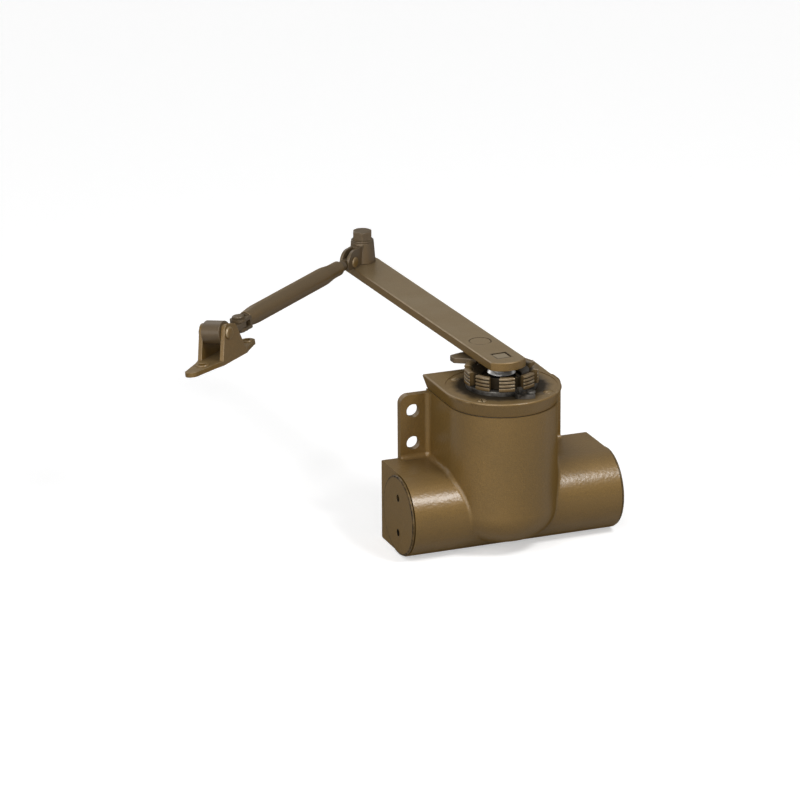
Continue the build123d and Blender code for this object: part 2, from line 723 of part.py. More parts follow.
ratchet_wheel.part.label = "ratchet_wheel"
export_step(ratchet_wheel.part, "parts/ratchet_wheel.step")

with BuildPart() as wheel_bush:
    with BuildSketch(at(0, SPINDLE_Y, WHEEL_BUSH_Z)):
        Circle(COLLAR_BORE - PRESS_PLAY)
        Circle(HUB_R + TURN_PLAY, mode=Mode.SUBTRACT)
    extrude(amount=WHEEL_BUSH_H)
wheel_bush.part.label = "wheel_bush"
export_step(wheel_bush.part, "parts/wheel_bush.step")

# Closing spring: a helical torsion spring with one end in the pot wall, one in the wheel's collar
pitch = (SPRING_HIGH - SPRING_LOW) / SPRING_TURNS
run_out = math.degrees(RUN_OUT / SPRING_R)
run_out_rise = pitch * run_out / 360
coil_foot = (0, SPINDLE_Y, BASE_Z + SPRING_LOW - run_out_rise)
coil_height = SPRING_HIGH - SPRING_LOW + 2 * run_out_rise
with BuildPart() as coil:
    with BuildLine() as coil_line:
        Helix(pitch=pitch, height=coil_height, radius=SPRING_R, center=coil_foot)
    coil_wire = coil_line.wires()[0]
    with BuildSketch(Plane(origin=coil_wire @ 0, z_dir=coil_wire % 0)):
        Circle(WIRE_R)
    sweep(path=coil_wire, is_frenet=True)
with BuildPart() as closing_spring:
    add(coil.part.rotate(spindle_axis, -90 - run_out))
    low_tang = (0, SPINDLE_Y - SPRING_R, BASE_Z + SPRING_LOW)
    with BuildSketch(Plane(origin=low_tang, x_dir=(1, 0, 0), z_dir=(0, -1, 0))):
        Circle(TANG_R)
    extrude(amount=CHAMBER_R + TANG_LONG - SPRING_R)
    high_tang = (0, SPINDLE_Y + SPRING_R, BASE_Z + SPRING_HIGH)
    with BuildSketch(Plane(origin=high_tang, x_dir=(1, 0, 0), z_dir=(0, -1, 0))):
        Circle(TANG_R)
    extrude(amount=SPRING_R - COLLAR_BORE - TANG_SHORT)
closing_spring.part.label = "closing_spring"
export_step(closing_spring.part, "parts/closing_spring.step")

# Spindle with a square top
with BuildPart() as spindle:
    spindle_low = LOWER_BUSH_Z + BUSH_FLOOR + PIN_PLAY
    seat_top = CYL_R + PINION_H / 2
    with BuildSketch(upright(0, SPINDLE_Y)):
        with BuildLine():
            Polyline(
                (0, spindle_low),
                (JOURNAL_R - JOURNAL_EDGE, spindle_low),
                (JOURNAL_R, spindle_low + JOURNAL_EDGE),
                (JOURNAL_R, JOURNAL_TOP),
                (SEAT_R, JOURNAL_TOP),
                (SEAT_R, seat_top),
                (SHAFT_R, seat_top),
                (SHAFT_R, HUB_BOTTOM),
                (HUB_R, HUB_BOTTOM),
                (HUB_R, HUB_COLLAR_LOW),
                (HUB_COLLAR_R, HUB_COLLAR_LOW),
                (HUB_COLLAR_R, HUB_COLLAR_TOP),
                (HUB_R, HUB_COLLAR_TOP + HUB_COLLAR_CONE),
                (HUB_R, ARM_Z - HUB_EDGE),
                (HUB_R - HUB_EDGE, ARM_Z),
                (0, ARM_Z),
                close=True,
            )
        make_face()
    revolve(axis=spindle_axis)
    with BuildSketch(at(0, SPINDLE_Y, ARM_Z)):
        Rectangle(SQUARE, SQUARE, rotation=ARM_DEG)
    extrude(amount=ARM_THICK - SQUARE_BELOW)
    chamfer(spindle.faces().sort_by(Axis.Z)[-1].edges(), length=SQUARE_EDGE)
spindle.part.label = "spindle"
export_step(spindle.part, "parts/spindle.step")


def involute(radius, offset):
    """A point of the tooth flank at a radius, turned by an angle."""
    base = PITCH_R * math.cos(PRESSURE)
    roll_out = math.acos(min(1.0, base / radius))
    turn = math.tan(roll_out) - roll_out
    return (radius * math.cos(offset + turn), radius * math.sin(offset + turn))


# Pinion pressed on the spindle
with BuildPart() as pinion:
    base_r = PITCH_R * math.cos(PRESSURE)
    flank_at_pitch = math.tan(PRESSURE) - PRESSURE
    half_tooth = (math.pi * MODULE / 2 - BACKLASH) / (2 * PITCH_R)
    with BuildSketch(at(0, SPINDLE_Y, CYL_R - PINION_H / 2)):
        Circle(ROOT_R)
        with BuildSketch(mode=Mode.PRIVATE) as tooth:
            radii = [base_r + (TIP_R - base_r) * k / FLANK_POINTS for k in range(FLANK_POINTS + 1)]
            right = [involute(r, -half_tooth - flank_at_pitch) for r in radii]
            left = [(x, -y) for x, y in reversed(right)]
            foot_x = (ROOT_R - TOOTH_LAP) * math.cos(half_tooth + flank_at_pitch)
            foot_y = (ROOT_R - TOOTH_LAP) * math.sin(half_tooth + flank_at_pitch)
            with BuildLine():
                Polyline((foot_x, -foot_y), *right, *left, (foot_x, foot_y), close=True)
            make_face()
        with PolarLocations(0, TEETH, start_angle=90 + 180 / TEETH):
            add(tooth.sketch)
        Circle(SEAT_R + PRESS_PLAY, mode=Mode.SUBTRACT)
    extrude(amount=PINION_H)
pinion.part.label = "pinion"
export_step(pinion.part, "parts/pinion.step")

# Piston with the rack in its notch and a check valve in its right head
with BuildPart() as piston:
    with BuildSketch(across(PISTON_LEFT)):
        Circle(PISTON_R)
    extrude(amount=PISTON_RIGHT - PISTON_LEFT)
    chamfer(piston.edges().filter_by(GeomType.CIRCLE), length=PISTON_EDGE)
    with BuildSketch(at(0, 0, 0)):
        notch_mid = (NOTCH_LEFT + NOTCH_RIGHT) / 2
        with Locations((notch_mid, RACK_ROOT - PISTON_R)):
            Rectangle(NOTCH_RIGHT - NOTCH_LEFT, 2 * PISTON_R)
        for step in RACK_TEETH:
            tip_half = RACK_PITCH / 4 - (RACK_LINE - RACK_TIP) * math.tan(PRESSURE) - BACKLASH / 2
            root_half = RACK_PITCH / 4 + MODULE * math.tan(PRESSURE) - BACKLASH / 2
            with BuildSketch(mode=Mode.PRIVATE) as rack_tooth:
                with BuildLine():
                    Polyline(
                        (step * RACK_PITCH - root_half, RACK_ROOT),
                        (step * RACK_PITCH + root_half, RACK_ROOT),
                        (step * RACK_PITCH + tip_half, RACK_TIP),
                        (step * RACK_PITCH - tip_half, RACK_TIP),
                        close=True,
                    )
                make_face()
            add(rack_tooth.sketch, mode=Mode.SUBTRACT)
    extrude(amount=2 * CYL_R, mode=Mode.SUBTRACT)
    groove_long = PISTON_RING_H + 2 * PISTON_RING_PLAY
    ring_grooves = (PISTON_LEFT + PISTON_RING_FROM, PISTON_RIGHT - PISTON_RING_FROM - groove_long)
    for groove_x in ring_grooves:
        with BuildSketch(across(groove_x)):
            Circle(PISTON_R + 1)
            Circle(PISTON_R - PISTON_RING_DEEP - PIN_PLAY, mode=Mode.SUBTRACT)
        extrude(amount=groove_long, mode=Mode.SUBTRACT)
    with BuildSketch(across(NOTCH_RIGHT - 1)):
        Circle(BALL_PORT_R)
    extrude(amount=HEAD + 2, mode=Mode.SUBTRACT)
    with BuildSketch(across(BALL_SEAT)):
        Circle(BALL_R + LOOSE_PLAY)
    extrude(amount=PISTON_RIGHT - BALL_SEAT, mode=Mode.SUBTRACT)
piston.part.label = "piston"
export_step(piston.part, "parts/piston.step")

with BuildPart() as piston_rings:
    for groove_x in ring_grooves:
        with BuildSketch(across(groove_x + PISTON_RING_PLAY)):
            Circle(PISTON_R + PRESS_PLAY)
            Circle(PISTON_R - PISTON_RING_DEEP, mode=Mode.SUBTRACT)
        extrude(amount=PISTON_RING_H)
piston_rings.part.label = "piston_rings"
export_step(piston_rings.part, "parts/piston_rings.step")

# The ball stands just off its seat edge and is kept by a plug with a hole
ball_x = BALL_SEAT + math.sqrt(BALL_R**2 - BALL_PORT_R**2) + BALL_GAP
with BuildPart() as check_ball:
    with Locations((ball_x, -CYL_BACK, BASE_Z + CYL_R)):
        Sphere(BALL_R)
check_ball.part.label = "check_ball"
export_step(check_ball.part, "parts/check_ball.step")

with BuildPart() as check_plug:
    with BuildSketch(across(PISTON_RIGHT - PLUG_LONG)):
        Circle(BALL_R + LOOSE_PLAY - PRESS_PLAY)
        Circle(PLUG_HOLE_R, mode=Mode.SUBTRACT)
    extrude(amount=PLUG_LONG)
check_plug.part.label = "check_plug"
export_step(check_plug.part, "parts/check_plug.step")

# Speed-regulating needle valve in the right end, with its sealing ring
with BuildPart() as speed_valve:
    with BuildSketch(across(VALVE_SEAT - NEEDLE_LONG)):
        with Locations((VALVE_Y, VALVE_Z)):
            Circle(NEEDLE_R)
    extrude(amount=NEEDLE_LONG + LOOSE_PLAY)
    with BuildSketch(across(VALVE_SEAT + LOOSE_PLAY)):
        with Locations((VALVE_Y, VALVE_Z)):
            Circle(VALVE_R - TURN_PLAY)
    extrude(amount=RIGHT_END - VALVE_SUNK - VALVE_SEAT - LOOSE_PLAY)
    with BuildSketch(across(VALVE_SEAT + VALVE_RING_FROM)):
        with Locations((VALVE_Y, VALVE_Z)):
            Circle(VALVE_R)
            Circle(VALVE_R - VALVE_RING_DEEP, mode=Mode.SUBTRACT)
    extrude(amount=VALVE_RING_H, mode=Mode.SUBTRACT)
    with BuildSketch(across(RIGHT_END - VALVE_SUNK)):
        with Locations((VALVE_Y, VALVE_Z)):
            Rectangle(3 * VALVE_R, VALVE_SLOT)
    extrude(amount=-VALVE_SLOT_DEEP, mode=Mode.SUBTRACT)
speed_valve.part.label = "speed_valve"
export_step(speed_valve.part, "parts/speed_valve.step")

with BuildPart() as valve_ring:
    with BuildSketch(across(VALVE_SEAT + VALVE_RING_FROM + PIN_PLAY)):
        with Locations((VALVE_Y, VALVE_Z)):
            Circle(VALVE_R - PRESS_PLAY)
            Circle(VALVE_R - VALVE_RING_DEEP + PIN_PLAY, mode=Mode.SUBTRACT)
    extrude(amount=VALVE_RING_H - 2 * PIN_PLAY)
valve_ring.part.label = "valve_ring"
export_step(valve_ring.part, "parts/valve_ring.step")

# Main arm: flat bar, rounded at both ends, on the spindle's square
arm_plane = Plane(origin=(0, SPINDLE_Y, BASE_Z + ARM_Z), x_dir=arm_dir, z_dir=(0, 0, 1))
with BuildPart() as main_arm:
    with BuildSketch(arm_plane):
        with Locations((ARM_LENGTH / 2, 0)):
            Rectangle(ARM_LENGTH, ARM_WIDTH)
        with Locations((ARM_LENGTH, 0)):
            Circle(ARM_WIDTH / 2)
        with BuildSketch(mode=Mode.PRIVATE) as nose:
            Circle(ARM_NOSE_R)
            Rectangle(2 * ARM_NOSE_R, ARM_WIDTH, mode=Mode.INTERSECT)
        add(nose.sketch)
    extrude(amount=ARM_THICK)
    outline = main_arm.faces().sort_by(Axis.Z)[-1].edges()
    chamfer(outline, length=ARM_EDGE)
    with BuildSketch(arm_plane):
        Rectangle(SQUARE + SQUARE_PLAY, SQUARE + SQUARE_PLAY)
        with Locations((DOG_PIVOT, 0)):
            Circle(STUD_HOLE_R)
        with Locations((ARM_LENGTH, 0)):
            Circle(ARM_BOLT_HOLE_R)
    extrude(amount=ARM_THICK, mode=Mode.SUBTRACT)
    with BuildSketch(arm_plane.offset(ARM_THICK - STUD_SINK)):
        with Locations((DOG_PIVOT, 0)):
            Circle(STUD_SINK_R)
    extrude(amount=STUD_SINK, mode=Mode.SUBTRACT)
main_arm.part.label = "main_arm"
export_step(main_arm.part, "parts/main_arm.step")

# Stud riveted flush in the arm; the dog turns on its lower end
dog_plane = Plane(origin=arm_plane.origin + arm_dir * DOG_PIVOT, x_dir=(1, 0, 0), z_dir=(0, 0, 1))
with BuildPart() as dog_stud:
    with BuildSketch(dog_plane.offset(ARM_THICK - STUD_SINK + PRESS_PLAY)):
        Circle(STUD_HEAD_R)
    extrude(amount=STUD_HEAD_H)
    with BuildSketch(dog_plane):
        Circle(STUD_R)
    extrude(amount=ARM_THICK - STUD_SINK / 2)
    with BuildSketch(dog_plane.offset(DOG_Z - ARM_Z - STUD_DROP)):
        Circle(STUD_NECK_R)
    extrude(amount=ARM_Z - DOG_Z + STUD_DROP)
    with BuildSketch(dog_plane.offset(DOG_Z - ARM_Z - STUD_DROP)):
        Circle(STUD_FOOT_R)
    extrude(amount=STUD_FOOT_H)
dog_stud.part.label = "dog_stud"
export_step(dog_stud.part, "parts/dog_stud.step")

# Drive dog under the arm: thumb tab to the left, beak in a gap of the wheel
with BuildPart() as drive_dog:
    dog_level = at(0, SPINDLE_Y, DOG_Z)
    pivot = arm_dir * DOG_PIVOT
    beak_out = Vector(*polar(1, BEAK_DEG), 0)
    beak_side = Vector(*polar(1, BEAK_DEG + 90), 0)
    tip_a = beak_out * BEAK_TIP + beak_side * BEAK_HALF
    tip_b = beak_out * BEAK_TIP - beak_side * BEAK_HALF
    root_a = beak_out * BEAK_ROOT + beak_side * BEAK_HALF
    root_b = beak_out * BEAK_ROOT - beak_side * BEAK_HALF
    with BuildSketch(dog_level):
        with BuildLine():
            Polyline(
                (tip_a.X, tip_a.Y),
                (root_a.X, root_a.Y),
                *DOG_TAB,
                (pivot.X, pivot.Y + DOG_EYE_R),
                (pivot.X + DOG_EYE_SIDE[0], pivot.Y + DOG_EYE_SIDE[1]),
                (root_b.X, root_b.Y),
                (tip_b.X, tip_b.Y),
                close=True,
            )
        make_face()
        with Locations((pivot.X, pivot.Y)):
            Circle(DOG_EYE_R)
        Circle(WHEEL_R + DOG_GAP, mode=Mode.SUBTRACT)
        with BuildSketch(mode=Mode.PRIVATE) as beak:
            with BuildLine():
                Polyline(
                    (tip_a.X, tip_a.Y),
                    (root_a.X, root_a.Y),
                    (root_b.X, root_b.Y),
                    (tip_b.X, tip_b.Y),
                    close=True,
                )
            make_face()
        add(beak.sketch)
        with Locations((pivot.X, pivot.Y)):
            Circle(DOG_HOLE_R, mode=Mode.SUBTRACT)
    extrude(amount=DOG_THICK)
    tab_edges = drive_dog.edges().filter_by(Axis.Z).group_by(Axis.X)[0]
    fillet(tab_edges, radius=DOG_TAB_EDGE)
drive_dog.part.label = "drive_dog"
export_step(drive_dog.part, "parts/drive_dog.step")

# Locking pawl on the cover, in front of the wheel, and its pivot screw
with BuildPart() as lock_pawl:
    with BuildSketch(at(0, SPINDLE_Y, PAWL_Z)):
        with BuildLine():
            Polyline(*PAWL_OUTLINE, close=True)
        make_face()
        Circle(WHEEL_R + PAWL_GAP, mode=Mode.SUBTRACT)
        with Locations(PAWL_PIVOT):
            Circle(PAWL_HOLE_R, mode=Mode.SUBTRACT)
    extrude(amount=PAWL_THICK)
    with BuildSketch(at(0, SPINDLE_Y, PAWL_Z + PAWL_THICK)):
        with BuildLine():
            Polyline(*PAWL_TOOTH, close=True)
        make_face()
    extrude(amount=PAWL_TOOTH_H)
lock_pawl.part.label = "lock_pawl"
export_step(lock_pawl.part, "parts/lock_pawl.step")

pawl_plane = at(PAWL_PIVOT[0], SPINDLE_Y + PAWL_PIVOT[1], DISH_Z)
with BuildPart() as pawl_screw:
    with BuildSketch(pawl_plane):
        Circle(PAWL_SHANK_R)
    extrude(amount=-PAWL_SHANK_LONG)
    with BuildSketch(pawl_plane):
        Circle(PAWL_NECK_R)
    extrude(amount=PAWL_NECK_H)
    with BuildSketch(pawl_plane.offset(PAWL_NECK_H)):
        Circle(PAWL_HEAD_R)
    extrude(amount=PAWL_HEAD_H)
    with BuildSketch(pawl_plane.offset(PAWL_NECK_H + PAWL_HEAD_H)):
        Rectangle(SCREW_SLOT_LONG, SCREW_SLOT, rotation=20)
    extrude(amount=-SCREW_SLOT, mode=Mode.SUBTRACT)
pawl_screw.part.label = "pawl_screw"
export_step(pawl_screw.part, "parts/pawl_screw.step")

# Elbow bolt, its washer and the nut under the arm
with BuildPart() as elbow_bolt:
    head_z = ELBOW_TOP + WASHER_H + ELBOW_GAP
    with BuildSketch(at(elbow.X, elbow.Y, ARM_Z - BOLT_BELOW)):
        Circle(BOLT_R)
    extrude(amount=head_z - ARM_Z + BOLT_BELOW)
    with BuildSketch(at(elbow.X, elbow.Y, head_z)):
        RegularPolygon(HEX_AF / 2, 6, major_radius=False, rotation=HEAD_TURN)
    extrude(amount=HEAD_H)
    chamfer(elbow_bolt.faces().sort_by(Axis.Z)[-1].edges(), length=HEX_EDGE)
elbow_bolt.part.label = "elbow_bolt"
export_step(elbow_bolt.part, "parts/elbow_bolt.step")

with BuildPart() as elbow_washer:
    with BuildSketch(at(elbow.X, elbow.Y, ELBOW_TOP + ELBOW_GAP)):
        Circle(ELBOW_WASHER_R)
        Circle(BOLT_R + PIN_PLAY, mode=Mode.SUBTRACT)
    extrude(amount=WASHER_H)
elbow_washer.part.label = "elbow_washer"
export_step(elbow_washer.part, "parts/elbow_washer.step")

with BuildPart() as elbow_nut:
    with BuildSketch(at(elbow.X, elbow.Y, ARM_Z - NUT_H)):
        RegularPolygon(HEX_AF / 2, 6, major_radius=False, rotation=NUT_TURN)
        Circle(BOLT_R + PRESS_PLAY, mode=Mode.SUBTRACT)
    extrude(amount=NUT_H)
elbow_nut.part.label = "elbow_nut"
export_step(elbow_nut.part, "parts/elbow_nut.step")

# Elbow knuckle: a boss that turns on the bolt, with a fork for the forearm
with BuildPart() as elbow_knuckle:
    with BuildSketch(at(elbow.X, elbow.Y, ELBOW_BOTTOM)):
        Circle(ELBOW_R)
    extrude(amount=ELBOW_TOP - ELBOW_BOTTOM, taper=ELBOW_TAPER)
    with BuildSketch(forearm_side):
        fork_low = ELBOW_BOTTOM - FOREARM_Z
        with Locations((ELBOW_PIN, 0)):
            Circle(EAR_R)
        with Locations((ELBOW_PIN / 2, 0)):
            Rectangle(ELBOW_PIN, 2 * EAR_R)
        with Locations((ELBOW_PIN, fork_low - EAR_R)):
            Rectangle(4 * EAR_R + ELBOW_PIN, 2 * EAR_R, mode=Mode.SUBTRACT)
    extrude(amount=FORK_HALF, both=True)
    with BuildSketch(forearm_side):
        with Locations((FORK_SLOT_FROM + FORK_SLOT_LONG / 2, 0)):
            Rectangle(FORK_SLOT_LONG, 3 * EAR_R)
    extrude(amount=FORK_SLOT / 2, both=True, mode=Mode.SUBTRACT)
    with BuildSketch(forearm_side):
        with Locations((ELBOW_PIN, 0)):
            Circle(ELBOW_PIN_HOLE_R)
    extrude(amount=2 * FORK_HALF, both=True, mode=Mode.SUBTRACT)
    with BuildSketch(at(elbow.X, elbow.Y, ELBOW_BOTTOM)):
        Circle(BOLT_R + PIN_PLAY)
    extrude(amount=ELBOW_TOP - ELBOW_BOTTOM, mode=Mode.SUBTRACT)
elbow_knuckle.part.label = "elbow_knuckle"
export_step(elbow_knuckle.part, "parts/elbow_knuckle.step")

with BuildPart() as elbow_pin:
    with BuildSketch(forearm_side):
        with Locations((ELBOW_PIN, 0)):
            Circle(ELBOW_PIN_R)
    extrude(amount=FORK_HALF + ELBOW_PIN_OUT, both=True)
    for face_side in (1, -1):
        with BuildSketch(forearm_side.offset(face_side * (FORK_HALF + HEAD_GAP))):
            with Locations((ELBOW_PIN, 0)):
                Circle(ELBOW_PIN_HEAD_R)
        extrude(amount=face_side * ELBOW_PIN_HEAD_H)
elbow_pin.part.label = "elbow_pin"
export_step(elbow_pin.part, "parts/elbow_pin.step")

# Forearm rod with its flat eye, sliding in the tube
with BuildPart() as forearm_rod:
    with BuildSketch(forearm_side):
        with Locations((ELBOW_PIN, 0)):
            Circle(EYE_R)
        with Locations(((ELBOW_PIN + SHANK_END) / 2, 0)):
            Rectangle(SHANK_END - ELBOW_PIN, 2 * ROD_R)
        with Locations((ELBOW_PIN, 0)):
            Circle(EYE_HOLE_R, mode=Mode.SUBTRACT)
    extrude(amount=EYE_HALF, both=True)
    with BuildSketch(forearm_plane):
        with BuildLine():
            Polyline(
                (SHANK_END - EYE_BLEND, 0),
                (SHANK_END - EYE_BLEND, EYE_HALF),
                (SHANK_END, ROD_R),
                (ROD_END - ROD_EDGE, ROD_R),
                (ROD_END, ROD_R - ROD_EDGE),
                (ROD_END, 0),
                close=True,
            )
        make_face()
    revolve(axis=forearm_axis)
forearm_rod.part.label = "forearm_rod"
export_step(forearm_rod.part, "parts/forearm_rod.step")

# Forearm tube, swaged down at both ends
neck_end = TUBE_START + TUBE_NECK
with BuildPart() as forearm_tube:
    with BuildSketch(forearm_plane):
        with BuildLine():
            Polyline(
                (TUBE_START, ROD_R + TURN_PLAY),
                (TUBE_START, TUBE_MOUTH_R),
                (TUBE_START + TUBE_MOUTH_EDGE, TUBE_NECK_R),
                (neck_end, TUBE_NECK_R),
                (neck_end + SWAGE_LONG, TUBE_R),
                (TUBE_END - SWAGE_TAIL, TUBE_R),
                (TUBE_END, TUBE_TAIL_R),
                (TUBE_END, STEM_R + PRESS_PLAY),
                (TUBE_END - SWAGE_TAIL + TUBE_WALL, STEM_R + PRESS_PLAY),
                (TUBE_END - SWAGE_TAIL, TUBE_IN),
                (neck_end + SWAGE_LONG + TUBE_WALL, TUBE_IN),
                (neck_end + SWAGE_LONG - TUBE_WALL, ROD_R + TURN_PLAY),
                close=True,
            )
        make_face()
    revolve(axis=forearm_axis)
forearm_tube.part.label = "forearm_tube"
export_step(forearm_tube.part, "parts/forearm_tube.step")

# Clevis pressed in the tube's lower end, and the pin through it
with BuildPart() as foot_clevis:
    with BuildSketch(foot_plane):
        Circle(CLEVIS_R)
        with Locations((-CLEVIS_LONG / 2, 0)):
            Rectangle(CLEVIS_LONG, CLEVIS_WIDE)
    extrude(amount=CLEVIS_HALF, both=True)
    slot_from = CLEVIS_WEB - CLEVIS_LONG
    slot_to = 2 * CLEVIS_R
    with BuildSketch(foot_plane):
        with Locations(((slot_from + slot_to) / 2, 0)):
            Rectangle(slot_to - slot_from, 2 * CLEVIS_WIDE)
    extrude(amount=CLEVIS_SLOT / 2, both=True, mode=Mode.SUBTRACT)
    with BuildSketch(stem_plane):
        with BuildLine():
            Polyline(
                (-STEM_LONG, 0),
                (-STEM_LONG, STEM_R - STEM_EDGE),
                (-STEM_LONG + STEM_EDGE, STEM_R),
                (slot_from - LOOSE_PLAY, STEM_R),
                (slot_from - LOOSE_PLAY, 0),
                close=True,
            )
        make_face()
    revolve(axis=forearm_axis)
    with BuildSketch(foot_plane):
        Circle(PIN_R + TURN_PLAY)
    extrude(amount=2 * CLEVIS_HALF, both=True, mode=Mode.SUBTRACT)
foot_clevis.part.label = "foot_clevis"
export_step(foot_clevis.part, "parts/foot_clevis.step")

with BuildPart() as foot_pin:
    with BuildSketch(foot_plane):
        Circle(PIN_R)
    extrude(amount=CLEVIS_HALF + LOOSE_PLAY, both=True)
    with BuildSketch(foot_plane.offset(CLEVIS_HALF + HEAD_GAP)):
        Circle(PIN_HEAD_R)
    extrude(amount=PIN_HEAD_H)
    head_edge = foot_pin.edges().filter_by(GeomType.CIRCLE).sort_by(Axis(foot_spot, foot_up))[-1]
    fillet(head_edge, radius=PIN_HEAD_EDGE)
    with BuildSketch(foot_plane.offset(-CLEVIS_HALF - HEAD_GAP)):
        Circle(PIN_TAIL_R)
    extrude(amount=-PIN_TAIL_H)
foot_pin.part.label = "foot_pin"
export_step(foot_pin.part, "parts/foot_pin.step")

# Barrel with its tongue, between the ears of the foot bracket
with BuildPart() as foot_barrel:
    with BuildSketch(foot_side):
        Circle(BARREL_R)
    extrude(amount=EAR_INSIDE / 2 - BARREL_GAP, both=True)
    with BuildSketch(foot_plane):
        Circle(TONGUE_R)
        with Locations((BARREL / 2, 0)):
            Rectangle(BARREL, 2 * TONGUE_R)
    extrude(amount=TONGUE_HALF, both=True)
    with BuildSketch(foot_plane):
        Circle(PIN_R + PIN_PLAY)
    extrude(amount=CLEVIS_HALF, both=True, mode=Mode.SUBTRACT)
    with BuildSketch(foot_side):
        Circle(BARREL_HOLE_R)
    extrude(amount=EAR_INSIDE, both=True, mode=Mode.SUBTRACT)
foot_barrel.part.label = "foot_barrel"
export_step(foot_barrel.part, "parts/foot_barrel.step")

# Foot bracket: two ears on a base with a screw flange at each end
base_low = tube_tip + reach * (BARREL - BASE_BACK) - foot_up * (BASE_DROP + BASE_THICK)
base_plane = Plane(origin=base_low, x_dir=reach, z_dir=foot_up)
base_half = EAR_INSIDE / 2 + EAR_THICK
ear_low = -BASE_DROP - BARREL_RISE - EAR_LAP
flange_ends = ((FLANGE_FRONT, BASE_BACK + EAR_FRONT, 1), (-FLANGE_REAR, BASE_BACK - EAR_REAR, -1))
with BuildPart() as foot_bracket:
    for ear_side in (1, -1):
        with BuildSketch(foot_side.offset(ear_side * EAR_INSIDE / 2)):
            with BuildLine():
                Polyline(
                    (-EAR_REAR, ear_low),
                    (EAR_FRONT, ear_low),
                    (EAR_TOP_FRONT, EAR_TOP),
                    (-EAR_TOP_REAR, EAR_TOP_BACK),
                    close=True,
                )
            make_face()
            ear_corners = vertices().sort_by(Axis(barrel_spot, foot_up))[-2:]
            fillet(ear_corners, radius=EAR_CORNER)
        extrude(amount=ear_side * EAR_THICK)
    with BuildSketch(base_plane):
        for tip, ear_end, outward in flange_ends:
            shoulder = ear_end + outward * FLANGE_SHOULDER
            neck = tip - outward * FLANGE_R
            with BuildLine():
                Polyline(
                    (0, base_half),
                    (ear_end, base_half),
                    (shoulder, base_half - FLANGE_NARROW),
                    (neck, FLANGE_R),
                    (neck, -FLANGE_R),
                    (shoulder, FLANGE_NARROW - base_half),
                    (ear_end, -base_half),
                    (0, -base_half),
                    close=True,
                )
            make_face()
            with Locations((neck, 0)):
                Circle(FLANGE_R)
    extrude(amount=BASE_THICK)
    # Low ring around each screw hole
    with BuildSketch(base_plane.offset(BASE_THICK)):
        with Locations([(hole, 0) for hole in FOOT_HOLES]):
            Circle(HOLE_RING_R)
    extrude(amount=HOLE_RING_H, taper=HOLE_RING_TAPER)
    with BuildSketch(base_plane):
        with Locations([(hole, 0) for hole in FOOT_HOLES]):
            Circle(FOOT_HOLE_R)
    extrude(amount=BASE_THICK + HOLE_RING_H, mode=Mode.SUBTRACT)
    with BuildSketch(foot_side):
        Circle(EAR_HOLE_R)
    extrude(amount=EAR_INSIDE, both=True, mode=Mode.SUBTRACT)
foot_bracket.part.label = "foot_bracket"
export_step(foot_bracket.part, "parts/foot_bracket.step")

with BuildPart() as barrel_pin:
    ear_out = EAR_INSIDE / 2 + EAR_THICK
    with BuildSketch(foot_side):
        Circle(BARREL_PIN_R)
    extrude(amount=ear_out + LOOSE_PLAY, both=True)
    for head_side in (1, -1):
        with BuildSketch(foot_side.offset(head_side * (ear_out + HEAD_GAP))):
            Circle(BARREL_PIN_HEAD_R)
        extrude(amount=head_side * BARREL_PIN_HEAD_H, taper=BARREL_PIN_TAPER)
barrel_pin.part.label = "barrel_pin"
export_step(barrel_pin.part, "parts/barrel_pin.step")
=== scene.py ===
# %% [markdown]
# # A pot-bodied door closer, finished for the camera
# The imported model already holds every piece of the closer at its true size: the iron casting,
# the cover, the toothed crown, the arm, the telescopic forearm and the foot. This lesson gives
# those pieces their finish. We round over the edges that a foundry and a file would have
# rounded, rebuild the pieces that follow a rule, mix the paint, and light it all like a
# catalogue photograph. The frame comes first, because every finished piece rides on it.

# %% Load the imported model
import json
import math

import bmesh
import bpy
from mathutils import Matrix, Vector


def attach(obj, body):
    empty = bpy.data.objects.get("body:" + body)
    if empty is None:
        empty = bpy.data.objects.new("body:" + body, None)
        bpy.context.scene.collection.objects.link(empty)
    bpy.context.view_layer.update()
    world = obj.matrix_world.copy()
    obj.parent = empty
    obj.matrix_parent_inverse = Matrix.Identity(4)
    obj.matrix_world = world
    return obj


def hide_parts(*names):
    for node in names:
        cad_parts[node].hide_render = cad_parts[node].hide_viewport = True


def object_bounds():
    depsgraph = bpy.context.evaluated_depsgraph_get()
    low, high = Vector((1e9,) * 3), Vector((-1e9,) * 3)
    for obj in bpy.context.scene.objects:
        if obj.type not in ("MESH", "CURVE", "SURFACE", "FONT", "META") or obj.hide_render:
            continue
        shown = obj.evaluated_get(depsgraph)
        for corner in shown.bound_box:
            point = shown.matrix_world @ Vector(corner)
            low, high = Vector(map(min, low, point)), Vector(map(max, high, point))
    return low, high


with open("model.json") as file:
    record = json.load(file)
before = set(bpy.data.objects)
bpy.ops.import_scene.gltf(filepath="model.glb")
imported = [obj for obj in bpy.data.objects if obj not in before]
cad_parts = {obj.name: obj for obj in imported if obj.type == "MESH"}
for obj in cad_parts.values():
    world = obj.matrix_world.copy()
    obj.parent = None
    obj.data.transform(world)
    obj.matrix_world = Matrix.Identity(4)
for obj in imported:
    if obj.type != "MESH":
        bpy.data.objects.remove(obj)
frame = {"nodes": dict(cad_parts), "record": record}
cad_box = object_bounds()
nodes = frame["nodes"]
scene = bpy.context.scene
MM = 0.001
behaviour = frame["record"]["behaviour"]
body_of_node = {n: body for body, ns in behaviour["bodies"].items() for n in ns}
slot_of_node = {s["node"]: s["material_slot"] for s in frame["record"]["subparts"]}
joint_of = {j["name"]: j for j in behaviour["joints"]}
print("nodes:", len(nodes), "box in mm:", [[round(c / MM, 1) for c in corner] for corner in cad_box])

